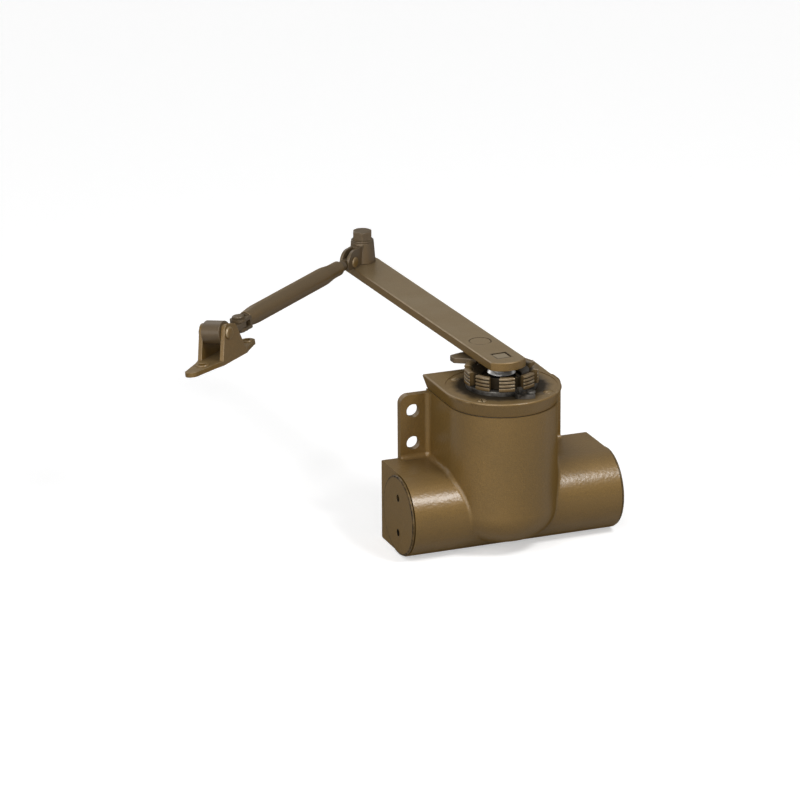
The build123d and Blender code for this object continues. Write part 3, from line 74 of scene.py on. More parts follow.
# %% [markdown]
# ## Where the axes are
# Turned pieces need an axis: the spindle's, the elbow bolt's, the forearm's and the two pins of
# the foot. The record gives a point and a direction for every joint, so nothing is measured
# twice. The forearm's axis is the direction in which its tube slides, through the elbow. Heights
# that are written out below are rows, in millimetres above the cylinder's underside, and
# ROW_BASE is where that underside lies.

# %% Axes of the turned pieces
UP = Vector((0, 0, 1))
spindle_spot = Vector(joint_of["spindle_turn"]["pos_m"])
elbow_spot = Vector(joint_of["elbow_swing"]["pos_m"])
elbow_pin_spot = Vector(joint_of["elbow_tilt"]["pos_m"])
elbow_pin_way = Vector(joint_of["elbow_tilt"]["axis"])
forearm_way = Vector(joint_of["forearm_adjust"]["axis"])
foot_pin_spot = Vector(joint_of["foot_swing"]["pos_m"])
foot_pin_way = Vector(joint_of["foot_swing"]["axis"])
barrel_spot = Vector(joint_of["foot_tilt"]["pos_m"])
barrel_way = Vector(joint_of["foot_tilt"]["axis"])
arm_way = Vector((elbow_spot.x - spindle_spot.x, elbow_spot.y - spindle_spot.y, 0)).normalized()
ARM_TURN = math.atan2(arm_way.y, arm_way.x)
ROW_BASE = -87.0
print("arm turned by", round(math.degrees(ARM_TURN), 2), "degrees")
print("elbow at", [round(c / MM, 1) for c in elbow_spot], "mm")

# %% [markdown]
# ## A small toolbox for shader nodes
# Every finish below is a little network of nodes. Wiring them one call at a time makes for long
# cells, so one helper adds a node, sets its constants and links what is already an output.
# A second helper opens a node group, which is how an effect is built once and used by many
# materials, each with its own values.

# %% Helpers that add nodes and open groups
def fill_inputs(tree, made, values):
    """Links a value that is another node's output, and sets any other."""
    for socket, value in values.items():
        if isinstance(value, bpy.types.NodeSocket):
            tree.links.new(value, made.inputs[socket])
        else:
            made.inputs[socket].default_value = value
    return made


def put(tree, kind, values=None, **settings):
    """Adds one shader node with its settings and inputs."""
    made = tree.nodes.new("ShaderNode" + kind)
    for name, setting in settings.items():
        setattr(made, name, setting)
    return fill_inputs(tree, made, values or {})


def open_group(name, inputs, outputs):
    """An empty shader group with named sockets, and its two end nodes."""
    group = bpy.data.node_groups.new(name, "ShaderNodeTree")
    for socket, kind, default in inputs:
        made = group.interface.new_socket(socket, in_out="INPUT", socket_type="NodeSocket" + kind)
        made.default_value = default
    for socket, kind in outputs:
        group.interface.new_socket(socket, in_out="OUTPUT", socket_type="NodeSocket" + kind)
    return group, group.nodes.new("NodeGroupInput").outputs, group.nodes.new("NodeGroupOutput").inputs


def place_group(tree, group, values):
    """Puts a group in a material with that material's own values."""
    made = tree.nodes.new("ShaderNodeGroup")
    made.node_tree = group
    return fill_inputs(tree, made, values).outputs


def sums(tree, operation, first, second=0.0, third=0.0):
    """One sum of up to three numbers; returns its output."""
    return put(tree, "Math", {0: first, 1: second, 2: third}, operation=operation).outputs[0]


def ramp(tree, value, low, high, at_low=0.0, at_high=1.0, kind="LINEAR"):
    """Spreads a value between two ends, without going past them."""
    ends = {"Value": value, "From Min": low, "From Max": high, "To Min": at_low, "To Max": at_high}
    return put(tree, "MapRange", ends, clamp=True, interpolation_type=kind).outputs[0]


def mix_colour(tree, factor, first, second):
    """Blends two colours; returns the colour output."""
    return put(tree, "Mix", {0: factor, 6: first, 7: second}, data_type="RGBA").outputs[2]


print("toolbox ready")

# %% [markdown]
# ## The skin of sprayed castings
# Enamel sprayed on a rough casting dries with a fine orange peel: soft pits a millimetre or
# two across, with a much finer sparkle from the bronze powder in the paint. Two noises give
# that, one for the peel and one for the powder. A displacement would cost a million faces, so
# the peel goes out as a height for a Bump node.

# %% Group: orange peel and bronze powder
peel_group, given, out = open_group(
    "orange_peel",
    [("Vector", "Vector", (0, 0, 0)), ("Peel Scale", "Float", 600.0), ("Powder Scale", "Float", 2200.0)],
    [("Height", "Float"), ("Powder", "Float")],
)
peel_look = {"Vector": given["Vector"], "Scale": given["Peel Scale"], "Detail": 2.0, "Roughness": 0.5}
peel = put(peel_group, "TexNoise", peel_look).outputs["Fac"]
powder_look = {"Vector": given["Vector"], "Scale": given["Powder Scale"], "Detail": 1.0}
powder = put(peel_group, "TexNoise", powder_look).outputs["Fac"]
peel_group.links.new(peel, out["Height"])
peel_group.links.new(powder, out["Powder"])
print("group:", peel_group.name)

# %% [markdown]
# ## Handling, dust, rubbed edges and painted light
# Paint that has been handled is never one colour. Broad patches are a little warmer or greyer.
# Level tops gather a pale film, partly dust and partly a painted sheen of the pale sky above.
# Edges are rubbed to a lighter bronze, partly wear and partly a painted highlight, and corners
# are darker, partly dirt and partly painted shade. Patches come from noise, and the film from
# the direction that the surface faces. The rubbed edges and the dark corners read two attributes
# that a later cell measures on each finished piece, so they stay put when the piece moves.

# %% Group: patches, dust with painted sheen, rubbed edges with painted highlight, painted shade in corners
wear_and_light_group, given, out = open_group(
    "handled_paint_and_light",
    [("Vector", "Vector", (0, 0, 0)), ("Patch Scale", "Float", 28.0)],
    [("Patches", "Float"), ("Film", "Float"), ("Rub", "Float"), ("Nook", "Float")],
)
patch_look = {"Vector": given["Vector"], "Scale": given["Patch Scale"], "Detail": 4.0, "Roughness": 0.6}
patches = ramp(wear_and_light_group, put(wear_and_light_group, "TexNoise", patch_look).outputs["Fac"], 0.32, 0.70)
facing = put(wear_and_light_group, "TexCoord").outputs["Normal"]
facing_up = put(wear_and_light_group, "SeparateXYZ", {0: facing}).outputs["Z"]
level = ramp(wear_and_light_group, facing_up, 0.45, 0.98)
# Level tops turn paler: dust, and a painted sheen of the sky above.
dust_and_sheen = sums(wear_and_light_group, "MULTIPLY", level, ramp(wear_and_light_group, patches, 0.0, 1.0, 0.6, 1.0))
fine_look = {"Vector": given["Vector"], "Scale": 170.0, "Detail": 3.0}
broken = ramp(wear_and_light_group, put(wear_and_light_group, "TexNoise", fine_look).outputs["Fac"], 0.36, 0.62)
# Rubbed edges: wear, and a painted highlight along them.
edges = put(wear_and_light_group, "Attribute", attribute_name="rub_and_glint").outputs["Fac"]
rub_and_glint = sums(wear_and_light_group, "MULTIPLY", edges, broken)
# Corners turn darker: dirt, and painted shade.
shaded_nook = put(wear_and_light_group, "Attribute", attribute_name="shaded_nook").outputs["Fac"]
for name, value in (("Patches", patches), ("Film", dust_and_sheen), ("Rub", rub_and_glint), ("Nook", shaded_nook)):
    wear_and_light_group.links.new(value, out[name])
print("group:", wear_and_light_group.name)

# %% [markdown]
# ## Oil and painted shade around an axis
# The spindle of an old closer weeps a little oil. One darkening stands for that oil and for
# painted shade: on the cover around the crown, in the gaps between the lobes and in the caps'
# spanner holes, strongest near the axis and fading out in an uneven edge. The distance from the
# axis is a length of a flattened vector, and noise makes the edge wander.

# %% Group: grime and painted shade around an axis
grime_and_shade_group, given, out = open_group(
    "settled_grime_and_shade",
    [
        ("Vector", "Vector", (0, 0, 0)),
        ("Centre", "Vector", (0, 0, 0)),
        ("Full Radius", "Float", 0.03),
        ("Clear Radius", "Float", 0.036),
        ("Wander", "Float", 0.003),
    ],
    [("Grime And Shade", "Float")],
)
ends = {0: given["Vector"], 1: given["Centre"]}
off = put(grime_and_shade_group, "VectorMath", ends, operation="SUBTRACT").outputs[0]
flat = put(grime_and_shade_group, "VectorMath", {0: off, 1: (1, 1, 0)}, operation="MULTIPLY").outputs[0]
distance = put(grime_and_shade_group, "VectorMath", {0: flat}, operation="LENGTH").outputs["Value"]
wander_look = {"Vector": given["Vector"], "Scale": 150.0, "Detail": 4.0}
wander = sums(grime_and_shade_group, "SUBTRACT", put(grime_and_shade_group, "TexNoise", wander_look).outputs["Fac"], 0.5)
uneven = sums(grime_and_shade_group, "MULTIPLY_ADD", wander, given["Wander"], distance)
# Darkening around an axis: oil, and painted shade.
grime_and_shade = ramp(grime_and_shade_group, uneven, given["Full Radius"], given["Clear Radius"], 1.0, 0.0, "SMOOTHSTEP")
grime_and_shade_group.links.new(grime_and_shade, out["Grime And Shade"])
print("group:", grime_and_shade_group.name)

# %% [markdown]
# ## A dark line where two pieces meet
# The spindle's square end and the head of the dog's stud lie flush in the arm. What shows them
# is the dirt in the narrow gap around each. A line drawn at a set distance from a centre is
# round, or square when the distance is the larger of the two sideways steps.

# %% Group: seam around a flush end
seam_group, given, out = open_group(
    "flush_seam",
    [
        ("Vector", "Vector", (0, 0, 0)),
        ("Centre", "Vector", (0, 0, 0)),
        ("Turn", "Float", 0.0),
        ("Half Width", "Float", 0.005),
        ("Line Width", "Float", 0.001),
        ("Square", "Float", 0.0),
    ],
    [("Seam", "Float")],
)
ends = {0: given["Vector"], 1: given["Centre"]}
off = put(seam_group, "VectorMath", ends, operation="SUBTRACT").outputs[0]
back_turn = sums(seam_group, "MULTIPLY", given["Turn"], -1.0)
spin = {"Vector": off, "Angle": back_turn}
turned = put(seam_group, "VectorRotate", spin, rotation_type="Z_AXIS").outputs[0]
steps = put(seam_group, "SeparateXYZ", {0: turned}).outputs
along_step = sums(seam_group, "ABSOLUTE", steps["X"])
across_step = sums(seam_group, "ABSOLUTE", steps["Y"])
squarely = sums(seam_group, "MAXIMUM", along_step, across_step)
flat = put(seam_group, "VectorMath", {0: turned, 1: (1, 1, 0)}, operation="MULTIPLY").outputs[0]
roundly = put(seam_group, "VectorMath", {0: flat}, operation="LENGTH").outputs["Value"]
distance = put(seam_group, "Mix", {0: given["Square"], 2: roundly, 3: squarely}).outputs[0]
beside = sums(seam_group, "ABSOLUTE", sums(seam_group, "SUBTRACT", distance, given["Half Width"]))
line = ramp(seam_group, beside, 0.0, given["Line Width"], 1.0, 0.0, "SMOOTHSTEP")
seam_look = {"Vector": given["Vector"], "Scale": 260.0, "Detail": 2.0}
patchy = ramp(seam_group, put(seam_group, "TexNoise", seam_look).outputs["Fac"], 0.35, 0.6, 0.45, 1.0)
seam_group.links.new(sums(seam_group, "MULTIPLY", line, patchy), out["Seam"])
print("group:", seam_group.name)

# %% [markdown]
# ## Bronze enamel
# The whole closer is sprayed in one bronze enamel, but it lies differently on a rough casting,
# on rolled bar and on small turned pieces. One function mixes the paint. Each use says how
# coarse the peel is, how much pale film the piece carries, partly dust and partly painted sheen,
# how dull it has gone, and where it carries dirt and painted shade. The bronze powder makes the
# body of the paint partly metallic, and a thin clear coat gives it the pale band that runs along
# the cylinder.

# %% The paint and its uses
BRONZE_WARM = (0.235, 0.138, 0.036, 1)
BRONZE_DARK = (0.200, 0.121, 0.034, 1)
# Pale grey of the film on level tops: dust, and a painted sheen of the sky above.
DUST_AND_SHEEN_GREY = (0.310, 0.245, 0.155, 1)
# Lighter bronze on edges: wear, and a painted highlight along them.
RUBBED_AND_GLINT = (0.430, 0.335, 0.205, 1)
# Near black of dirt, and of painted shade in corners, gaps and holes.
GRIME_AND_SHADE = (0.016, 0.013, 0.009, 1)
SMOKED = (0.090, 0.076, 0.062, 1)
EDGE_TINT = (0.45, 0.38, 0.28, 1)
METALLIC = 0.75
COAT = 1.0
COAT_LEFT = 0.1
COAT_FADES = (0.45, 0.8)
RUB_AND_GLINT_SHARE = 0.8
PATCH_GLOSS = 0.05
SOIL_AND_SHADE_DULLS = 0.25
NOISE_SPAN = (0.3, 0.7)
SPARKLE = (0.80, 1.20)


def new_material(name):
    """A material with its shader and Object coordinates."""
    material = bpy.data.materials.new(name)
    material.use_nodes = True
    tree = material.node_tree
    return material, tree, tree.nodes["Principled BSDF"], put(tree, "TexCoord").outputs["Object"]


def bronze_enamel(
    name,
    peel_scale,
    peel_mm,
    dust_and_sheen=0.5,
    rough=0.66,
    coat_rough=0.30,
    patch_scale=16.0,
    dirt_and_shade=None,
    corners=0.55,
    smoke=0.0,
):
    """Bronze enamel; dirt_and_shade draws the piece's dirt and painted shade, and smoke is how dull it
    has gone.
    """
    material, tree, shader, where = new_material(name)
    skin = place_group(tree, peel_group, {"Vector": where, "Peel Scale": peel_scale})
    wear_and_light = place_group(tree, wear_and_light_group, {"Vector": where, "Patch Scale": patch_scale})
    body = mix_colour(tree, wear_and_light["Patches"], BRONZE_DARK, BRONZE_WARM)
    # The pale film on level tops: dust, and a painted sheen.
    body = mix_colour(tree, sums(tree, "MULTIPLY", wear_and_light["Film"], dust_and_sheen), body, DUST_AND_SHEEN_GREY)
    # Rubbed edges: wear, and a painted highlight along them.
    body = mix_colour(tree, sums(tree, "MULTIPLY", wear_and_light["Rub"], RUB_AND_GLINT_SHARE), body, RUBBED_AND_GLINT)
    sparkle = ramp(tree, skin["Powder"], *NOISE_SPAN, *SPARKLE)
    body = put(tree, "HueSaturation", {"Color": body, "Value": sparkle}).outputs[0]
    # The corners share darkens corners and creases: dirt, and painted shade.
    soil_and_shade = sums(tree, "MULTIPLY", wear_and_light["Nook"], corners)
    if dirt_and_shade:
        soil_and_shade = sums(tree, "MAXIMUM", soil_and_shade, dirt_and_shade(tree, where))
    body = mix_colour(tree, smoke, body, SMOKED)
    body = mix_colour(tree, soil_and_shade, body, GRIME_AND_SHADE)
    gloss = ramp(tree, wear_and_light["Patches"], 0.0, 1.0, rough + PATCH_GLOSS, rough - PATCH_GLOSS)
    gloss = sums(tree, "MULTIPLY_ADD", soil_and_shade, SOIL_AND_SHADE_DULLS, gloss)
    bump = put(tree, "Bump", {"Height": skin["Height"], "Distance": peel_mm * MM}).outputs[0]
    fill_inputs(tree, shader, {"Base Color": body, "Roughness": gloss, "Normal": bump})
    aslant = put(tree, "LayerWeight", {"Blend": 0.5}).outputs["Facing"]
    hidden = sums(tree, "MAXIMUM", soil_and_shade, ramp(tree, aslant, *COAT_FADES))
    coat = ramp(tree, hidden, 0.0, 1.0, COAT, COAT_LEFT)
    fill_inputs(tree, shader, {"Metallic": METALLIC, "Coat Weight": coat, "Coat Roughness": coat_rough})
    fill_inputs(tree, shader, {"Coat Normal": bump, "Specular Tint": EDGE_TINT})
    return material


cast_paint = bronze_enamel("bronze_on_casting", peel_scale=430, peel_mm=0.17, dust_and_sheen=0.2, coat_rough=0.29)
bar_paint = bronze_enamel("bronze_on_bar", peel_scale=900, peel_mm=0.05, dust_and_sheen=0.3, rough=0.60, smoke=0.3)
fitting = {"peel_scale": 1000, "peel_mm": 0.06, "dust_and_sheen": 0.4, "patch_scale": 60}
small_paint = bronze_enamel("bronze_on_fittings", **fitting)
dull_paint = bronze_enamel("dull_bronze", smoke=0.6, **fitting)
print("paints:", cast_paint.name, bar_paint.name, small_paint.name, dull_paint.name)

# %% [markdown]
# ## Dirty and shaded versions of the paint
# Some pieces carry dirt and painted shade of their own: the cover with a dark ring around the
# crown, oil and painted shade, the crown with oil and painted shade in its gaps and middle, the
# arm with its two seams and the end caps with their joint and painted shade in their spanner
# holes. Each gets the same paint with a function that draws the dirt and the painted shade. The
# caps lie on their side, so their function hands the groups a turned vector.

# %% Paint for the cover, the crown, the arm and the caps
STUD_OUT = 37.5 * MM
STUD_R = 8.3 * MM
ARM_SQUARE_HALF = 5.9 * MM
STUD_SEAM_SHARE = 0.8
CYLINDER_OUT = 39.0
CYLINDER_MIDDLE = 31.1 + ROW_BASE
CAP_R = 29.7 * MM
SPANNER_HALF = 13.7
SPANNER_R = 2.6 * MM
SPANNER_EDGE = 3.1 * MM
arm_top_centre = Vector((spindle_spot.x, spindle_spot.y, 0))
stud_centre = arm_top_centre + arm_way * STUD_OUT


def oil_and_shade_around_spindle(tree, where, full_mm, clear_mm, wander_mm, share):
    """Grime and painted shade, full up to one radius from the spindle and gone at another."""
    spread = {"Vector": where, "Centre": arm_top_centre, "Wander": wander_mm * MM}
    spread.update({"Full Radius": full_mm * MM, "Clear Radius": clear_mm * MM})
    return sums(tree, "MULTIPLY", place_group(tree, grime_and_shade_group, spread)["Grime And Shade"], share)


def oil_and_shade_on_cover(tree, where):
    """Oil, painted shade and a painted dark reflection of the crown, around the crown."""
    # Dark ring on the cover: oil, painted shade and a painted reflection of the crown.
    return oil_and_shade_around_spindle(tree, where, full_mm=31, clear_mm=40, wander_mm=8, share=0.93)


def oil_and_shade_in_crown(tree, where):
    """Oil and painted shade between the lobes and in the dished middle, where the arm's shadow falls."""
    # Darkened crown middle and gaps: oil, and the arm's shadow painted in.
    return oil_and_shade_around_spindle(tree, where, full_mm=21.6, clear_mm=25.5, wander_mm=3, share=0.85)


def seams_of_arm(tree, where):
    """Dirt around the spindle's square and the stud's head."""
    square_look = {"Centre": arm_top_centre, "Turn": ARM_TURN, "Square": 1.0}
    square_line = {"Vector": where, "Half Width": ARM_SQUARE_HALF, "Line Width": 1.1 * MM}
    square_seam = place_group(tree, seam_group, {**square_line, **square_look})["Seam"]
    stud_look = {"Centre": stud_centre, "Half Width": STUD_R, "Line Width": 0.9 * MM}
    stud_seam = place_group(tree, seam_group, {"Vector": where, "Square": 0.0, **stud_look})["Seam"]
    return sums(tree, "MAXIMUM", square_seam, sums(tree, "MULTIPLY", stud_seam, STUD_SEAM_SHARE))


def seam_and_hole_shade_of_cap(tree, where):
    """Dirt around an end cap, and painted shade in its spanner holes; the cap's axis lies along the
    cylinder.
    """
    steps = put(tree, "SeparateXYZ", {0: where}).outputs
    upright = put(tree, "CombineXYZ", {"X": steps["Y"], "Y": steps["Z"]}).outputs[0]
    middle = Vector((-CYLINDER_OUT, CYLINDER_MIDDLE, 0)) * MM
    ring_look = {"Centre": middle, "Half Width": CAP_R, "Line Width": 1.6 * MM}
    soil_and_shade = place_group(tree, seam_group, {"Vector": upright, **ring_look})["Seam"]
    # The spanner holes are darkened inside: painted shade in the recess.
    for offset in (-SPANNER_HALF, SPANNER_HALF):
        hole_look = {"Full Radius": SPANNER_R, "Clear Radius": SPANNER_EDGE, "Wander": 0.4 * MM}
        hole = {"Vector": upright, "Centre": middle + Vector((0, offset, 0)) * MM, **hole_look}
        soil_and_shade = sums(tree, "MAXIMUM", soil_and_shade, place_group(tree, grime_and_shade_group, hole)["Grime And Shade"])
    return soil_and_shade


cap_paint = bronze_enamel("bronze_on_caps", 520, 0.12, dust_and_sheen=0.2, rough=0.60, dirt_and_shade=seam_and_hole_shade_of_cap)
cover_paint = bronze_enamel("bronze_on_cover", 520, 0.14, dust_and_sheen=0.4, dirt_and_shade=oil_and_shade_on_cover, corners=0.25)
# The crown's strong corners share is painted shade in its grooves and gaps, with dirt.
crown_wear = {"dust_and_sheen": 0.3, "patch_scale": 90, "corners": 0.9, "smoke": 0.35}
crown_paint = bronze_enamel("bronze_on_crown", 1100, 0.06, dirt_and_shade=oil_and_shade_in_crown, **crown_wear)
# The arm's large film share lightens its level top: dust, and a painted sheen.
arm_paint = bronze_enamel("bronze_on_arm", 900, 0.05, dust_and_sheen=0.8, rough=0.60, dirt_and_shade=seams_of_arm)
print("dirty and shaded paints:", cap_paint.name, cover_paint.name, crown_paint.name, arm_paint.name)

# %% [markdown]
# ## Bare metals and rubber
# Not everything is painted. The washer under the crown and the small pawl beside it are steel
# that is drawn nearly black, and the speed valve is bright. Inside, where only the open model
# shows it, there are ground iron, oiled spring wire, bronze bushes and black seals. Grain that is
# stretched across the axis gives the turned rings, and plain noise at each metal's own scale
# gives the rest.

# %% Turned steel, iron, spring wire, bronze and rubber
GRAIN_DEPTH = 0.01 * MM


def bare_metal(name, colour, shade, grain_scale, rough, metallic=1.0, stretch=(1, 1, 1)):
    """Metal with grain that is stretched along its working direction."""
    material, tree, shader, where = new_material(name)
    drawn = put(tree, "Mapping", {"Vector": where, "Scale": stretch}).outputs[0]
    grain = put(tree, "TexNoise", {"Vector": drawn, "Scale": grain_scale, "Detail": 4.0}).outputs["Fac"]
    body = mix_colour(tree, ramp(tree, grain, *NOISE_SPAN), shade, colour)
    gloss = ramp(tree, grain, 0.0, 1.0, rough - 0.08, rough + 0.10)
    bump = put(tree, "Bump", {"Height": grain, "Distance": GRAIN_DEPTH}).outputs[0]
    look = {"Base Color": body, "Roughness": gloss, "Normal": bump, "Metallic": metallic}
    fill_inputs(tree, shader, look)
    return material


RINGS = (0.15, 0.15, 3)
STEEL = ((0.74, 0.72, 0.69, 1), (0.46, 0.45, 0.43, 1))
DARKENED_STEEL = ((0.17, 0.16, 0.145, 1), (0.022, 0.019, 0.015, 1))
IRON = ((0.32, 0.32, 0.32, 1), (0.20, 0.20, 0.21, 1))
WIRE = ((0.20, 0.20, 0.22, 1), (0.10, 0.10, 0.11, 1))
BUSH = ((0.62, 0.44, 0.20, 1), (0.42, 0.29, 0.12, 1))
RUBBER = ((0.030, 0.030, 0.030, 1), (0.018, 0.018, 0.018, 1))
bright_steel = bare_metal("turned_steel", *STEEL, 500, 0.30, stretch=RINGS)
dark_steel = bare_metal("dark_steel", *DARKENED_STEEL, 160, 0.42, metallic=0.8)
grey_iron = bare_metal("ground_iron", *IRON, 900, 0.42)
spring_wire = bare_metal("oiled_spring_wire", *WIRE, 700, 0.34)
bush_bronze = bare_metal("turned_bronze", *BUSH, 700, 0.32, stretch=RINGS)
seal_rubber = bare_metal("seal_rubber", *RUBBER, 800, 0.62, metallic=0.0)
finish_of_slot = {
    "bronze_paint": small_paint,
    "bright_steel": bright_steel,
    "grey_iron": grey_iron,
    "spring_steel": spring_wire,
    "bronze_bush": bush_bronze,
    "black_rubber": seal_rubber,
}
for name, node in nodes.items():
    node.data.materials.clear()
    node.data.materials.append(finish_of_slot[slot_of_node[name]])
print("finishes:", [m.name for m in finish_of_slot.values()])

# %% [markdown]
# ## Oil and painted shade, clean steel with a painted glint, then paint
# The spindle is steel, dark where it turns: oil, and painted shade under the arm. Only the cone
# of its collar is clean bright steel, and that is the bright spot under the arm, partly a painted
# glint. Its square end was sprayed with the arm once it was in place. One material holds all
# three: the height on the piece chooses between the colours, and between a metal's gloss and the
# paint's.

# %% Spindle finish
ARM_UNDERSIDE = (142.6 + ROW_BASE) * MM
PAINT_FROM = ARM_UNDERSIDE + 0.5 * MM
PAINT_FULL = ARM_UNDERSIDE + 1.0 * MM
SPINDLE_SQUARE_HALF = 5.7 * MM
CONE_LOW = (136.2 + ROW_BASE) * MM
CONE_TOP = (138.6 + ROW_BASE) * MM
CONE_FADE = 0.4 * MM
CLEAN_DARK = (0.80, 0.78, 0.75, 1)
CLEAN_PALE = (0.95, 0.94, 0.92, 1)
# Dark hub above and below the cone: oil, and painted shade under the arm.
OILED_AND_SHADED_HUB = (0.045, 0.040, 0.033, 1)
ROUGH_STEEL_TO_PAINT = (0.30, 0.52)
METAL_STEEL_TO_PAINT = (0.9, METALLIC)
spindle_finish, tree, shader, where = new_material("steel_and_painted_end")
height = put(tree, "SeparateXYZ", {0: where}).outputs["Z"]
painted = ramp(tree, height, PAINT_FROM, PAINT_FULL)
rings = put(tree, "Mapping", {"Vector": where, "Scale": RINGS}).outputs[0]
grain = put(tree, "TexNoise", {"Vector": rings, "Scale": 600.0, "Detail": 4.0}).outputs["Fac"]
steel = mix_colour(tree, ramp(tree, grain, *NOISE_SPAN), CLEAN_DARK, CLEAN_PALE)
# Bright band only on the cone: clean steel, and a painted glint under the arm.
from_cone = ramp(tree, height, CONE_LOW, CONE_LOW + CONE_FADE)
up_to_cone = ramp(tree, height, CONE_TOP, CONE_TOP + CONE_FADE, 1.0, 0.0)
clean_and_glint = sums(tree, "MULTIPLY", from_cone, up_to_cone)
steel = mix_colour(tree, clean_and_glint, OILED_AND_SHADED_HUB, steel)
square_look = {"Centre": arm_top_centre, "Turn": ARM_TURN, "Square": 1.0}
square_line = {"Vector": where, "Half Width": SPINDLE_SQUARE_HALF, "Line Width": 1.2 * MM}
seam = place_group(tree, seam_group, {**square_line, **square_look})["Seam"]
end_colour = mix_colour(tree, seam, DUST_AND_SHEEN_GREY, GRIME_AND_SHADE)
body = mix_colour(tree, painted, steel, end_colour)
gloss = ramp(tree, painted, 0.0, 1.0, *ROUGH_STEEL_TO_PAINT)
metal = ramp(tree, painted, 0.0, 1.0, *METAL_STEEL_TO_PAINT)
fill_inputs(tree, shader, {"Base Color": body, "Roughness": gloss, "Metallic": metal})
print("finish:", spindle_finish.name)

# %% [markdown]
# ## Rounding over what is sharp
# A model from drawings has knife edges, and knife edges catch no light. A real casting is soft
# at every corner, and even sawn bar has its burr filed off. A bevel on every edge that turns by
# more than a set angle puts that softness in the mesh. The drawn mesh is loose triangles, so a
# copy is merged and its flat areas joined first, and weighted normals keep the flats flat. The
# same cell measures how much each edge stands out or lies in a corner. The paint reads that as
# rubbed edges with a painted highlight and as dark corners with painted shade. Only narrow faces
# keep that measure, or it would bleed across the broad flats beside them.

# %% Helpers for finished pieces
TURN_FROM = math.radians(17)
TURN_FULL = math.radians(28)
NARROW_WIDTH = 1.2 * MM
DRAWN_MERGE = 0.002 * MM
FLAT_TURN = math.radians(0.25)


def measure_edge_turns(mesh):
    """Stores on the corners of narrow faces how sharply the surface turns outwards and inwards."""
    shape = bmesh.new()
    shape.from_mesh(mesh)
    rub_and_glint_of = [0.0] * len(shape.verts)
    shaded_nook_of = [0.0] * len(shape.verts)
    for edge in shape.edges:
        if len(edge.link_faces) != 2:
            continue
        turn = edge.calc_face_angle_signed(0.0)
        amount = min(1.0, max(0.0, (abs(turn) - TURN_FROM) / (TURN_FULL - TURN_FROM)))
        store = rub_and_glint_of if turn > 0 else shaded_nook_of
        for point in edge.verts:
            store[point.index] = max(store[point.index], amount)
    rub_and_glint_at, shaded_nook_at = [], []
    for face in shape.faces:
        longest = max(edge.calc_length() for edge in face.edges)
        narrow = face.calc_area() < NARROW_WIDTH * longest
        for corner in face.loops:
            rub_and_glint_at.append(rub_and_glint_of[corner.vert.index] if narrow else 0.0)
            shaded_nook_at.append(shaded_nook_of[corner.vert.index] if narrow else 0.0)
    shape.free()
    for name, values in (("rub_and_glint", rub_and_glint_at), ("shaded_nook", shaded_nook_at)):
        mesh.attributes.new(name, "FLOAT", "CORNER").data.foreach_set("value", values)


def plain_mesh(piece):
    """Replaces a piece's modifiers by the mesh that they make."""
    graph = bpy.context.evaluated_depsgraph_get()
    made = bpy.data.meshes.new_from_object(piece.evaluated_get(graph))
    piece.modifiers.clear()
    piece.data = made
    return piece


def settle(piece, material, node_names):
    """Gives a finished piece its paint, its measure of rubbed edges and shaded corners, its body and the
    nodes that it stands for.
    """
    measure_edge_turns(piece.data)
    piece.data.materials.clear()
    piece.data.materials.append(material)
    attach(piece, body_of_node[node_names[0]])
    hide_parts(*node_names)
    print(piece.name, "faces", len(piece.data.polygons))


def new_piece(name, mesh):
    """An object at the origin with a smooth-shaded mesh."""
    mesh.shade_smooth()
    piece = bpy.data.objects.new(name, mesh)
    scene.collection.objects.link(piece)
    return piece


def round_over(piece, radius_mm, segments=3, angle_deg=32):
    """Rounds every edge that turns by more than an angle, and evens the shading."""
    bevel = piece.modifiers.new("round_over", "BEVEL")
    bevel.width = radius_mm * MM
    bevel.segments = segments
    bevel.limit_method = "ANGLE"
    bevel.angle_limit = math.radians(angle_deg)
    bevel.miter_outer = "MITER_ARC"
    piece.modifiers.new("even_shading", "WEIGHTED_NORMAL").keep_sharp = True
    return plain_mesh(piece)


def finish_drawn(name, radius_mm, material):
    """Settles a copy of a drawn piece with its sharp edges rounded over."""
    mesh = nodes[name].data.copy()
    if "custom_normal" in mesh.attributes:
        mesh.attributes.remove(mesh.attributes["custom_normal"])
    shape = bmesh.new()
    shape.from_mesh(mesh)
    bmesh.ops.remove_doubles(shape, verts=shape.verts, dist=DRAWN_MERGE)
    bmesh.ops.dissolve_limit(shape, angle_limit=FLAT_TURN, verts=shape.verts, edges=shape.edges)
    shape.to_mesh(mesh)
    shape.free()
    settle(round_over(new_piece(name + "_finished", mesh), radius_mm), material, [name])


print("helpers ready")

# %% [markdown]
# ## The castings, the bars and the steel pieces
# These pieces have the right shape already and only need soft edges. The radius is the one the
# real edge has: nearly a millimetre on a casting, a few tenths on a turned or sawn piece.

# %% Rounded copies of the drawn pieces
ROUNDING = [
    ("housing", 0.9, cast_paint),
    ("cover", 0.9, cover_paint),
    ("left_end_cap", 0.4, cap_paint),
    ("right_end_cap", 0.4, cap_paint),
    ("main_arm", 1.1, arm_paint),
    ("dog_stud", 0.3, arm_paint),
    # The drive dog's dark dull paint also stands in for the arm's shadow on it: painted shadow.
    ("drive_dog", 0.5, dull_paint),
    ("elbow_knuckle", 0.6, dull_paint),
    ("forearm_rod", 0.3, dull_paint),
    ("foot_clevis", 0.7, dull_paint),
    ("foot_barrel", 0.6, dull_paint),
    ("foot_bracket", 0.8, small_paint),
    ("lock_pawl", 0.3, dark_steel),
    ("pawl_screw", 0.2, dark_steel),
    ("thrust_washer", 0.3, dark_steel),
    ("spindle", 0.2, spindle_finish),
    ("speed_valve", 0.2, bright_steel),
]
for name, radius, material in ROUNDING:
    finish_drawn(name, radius, material)

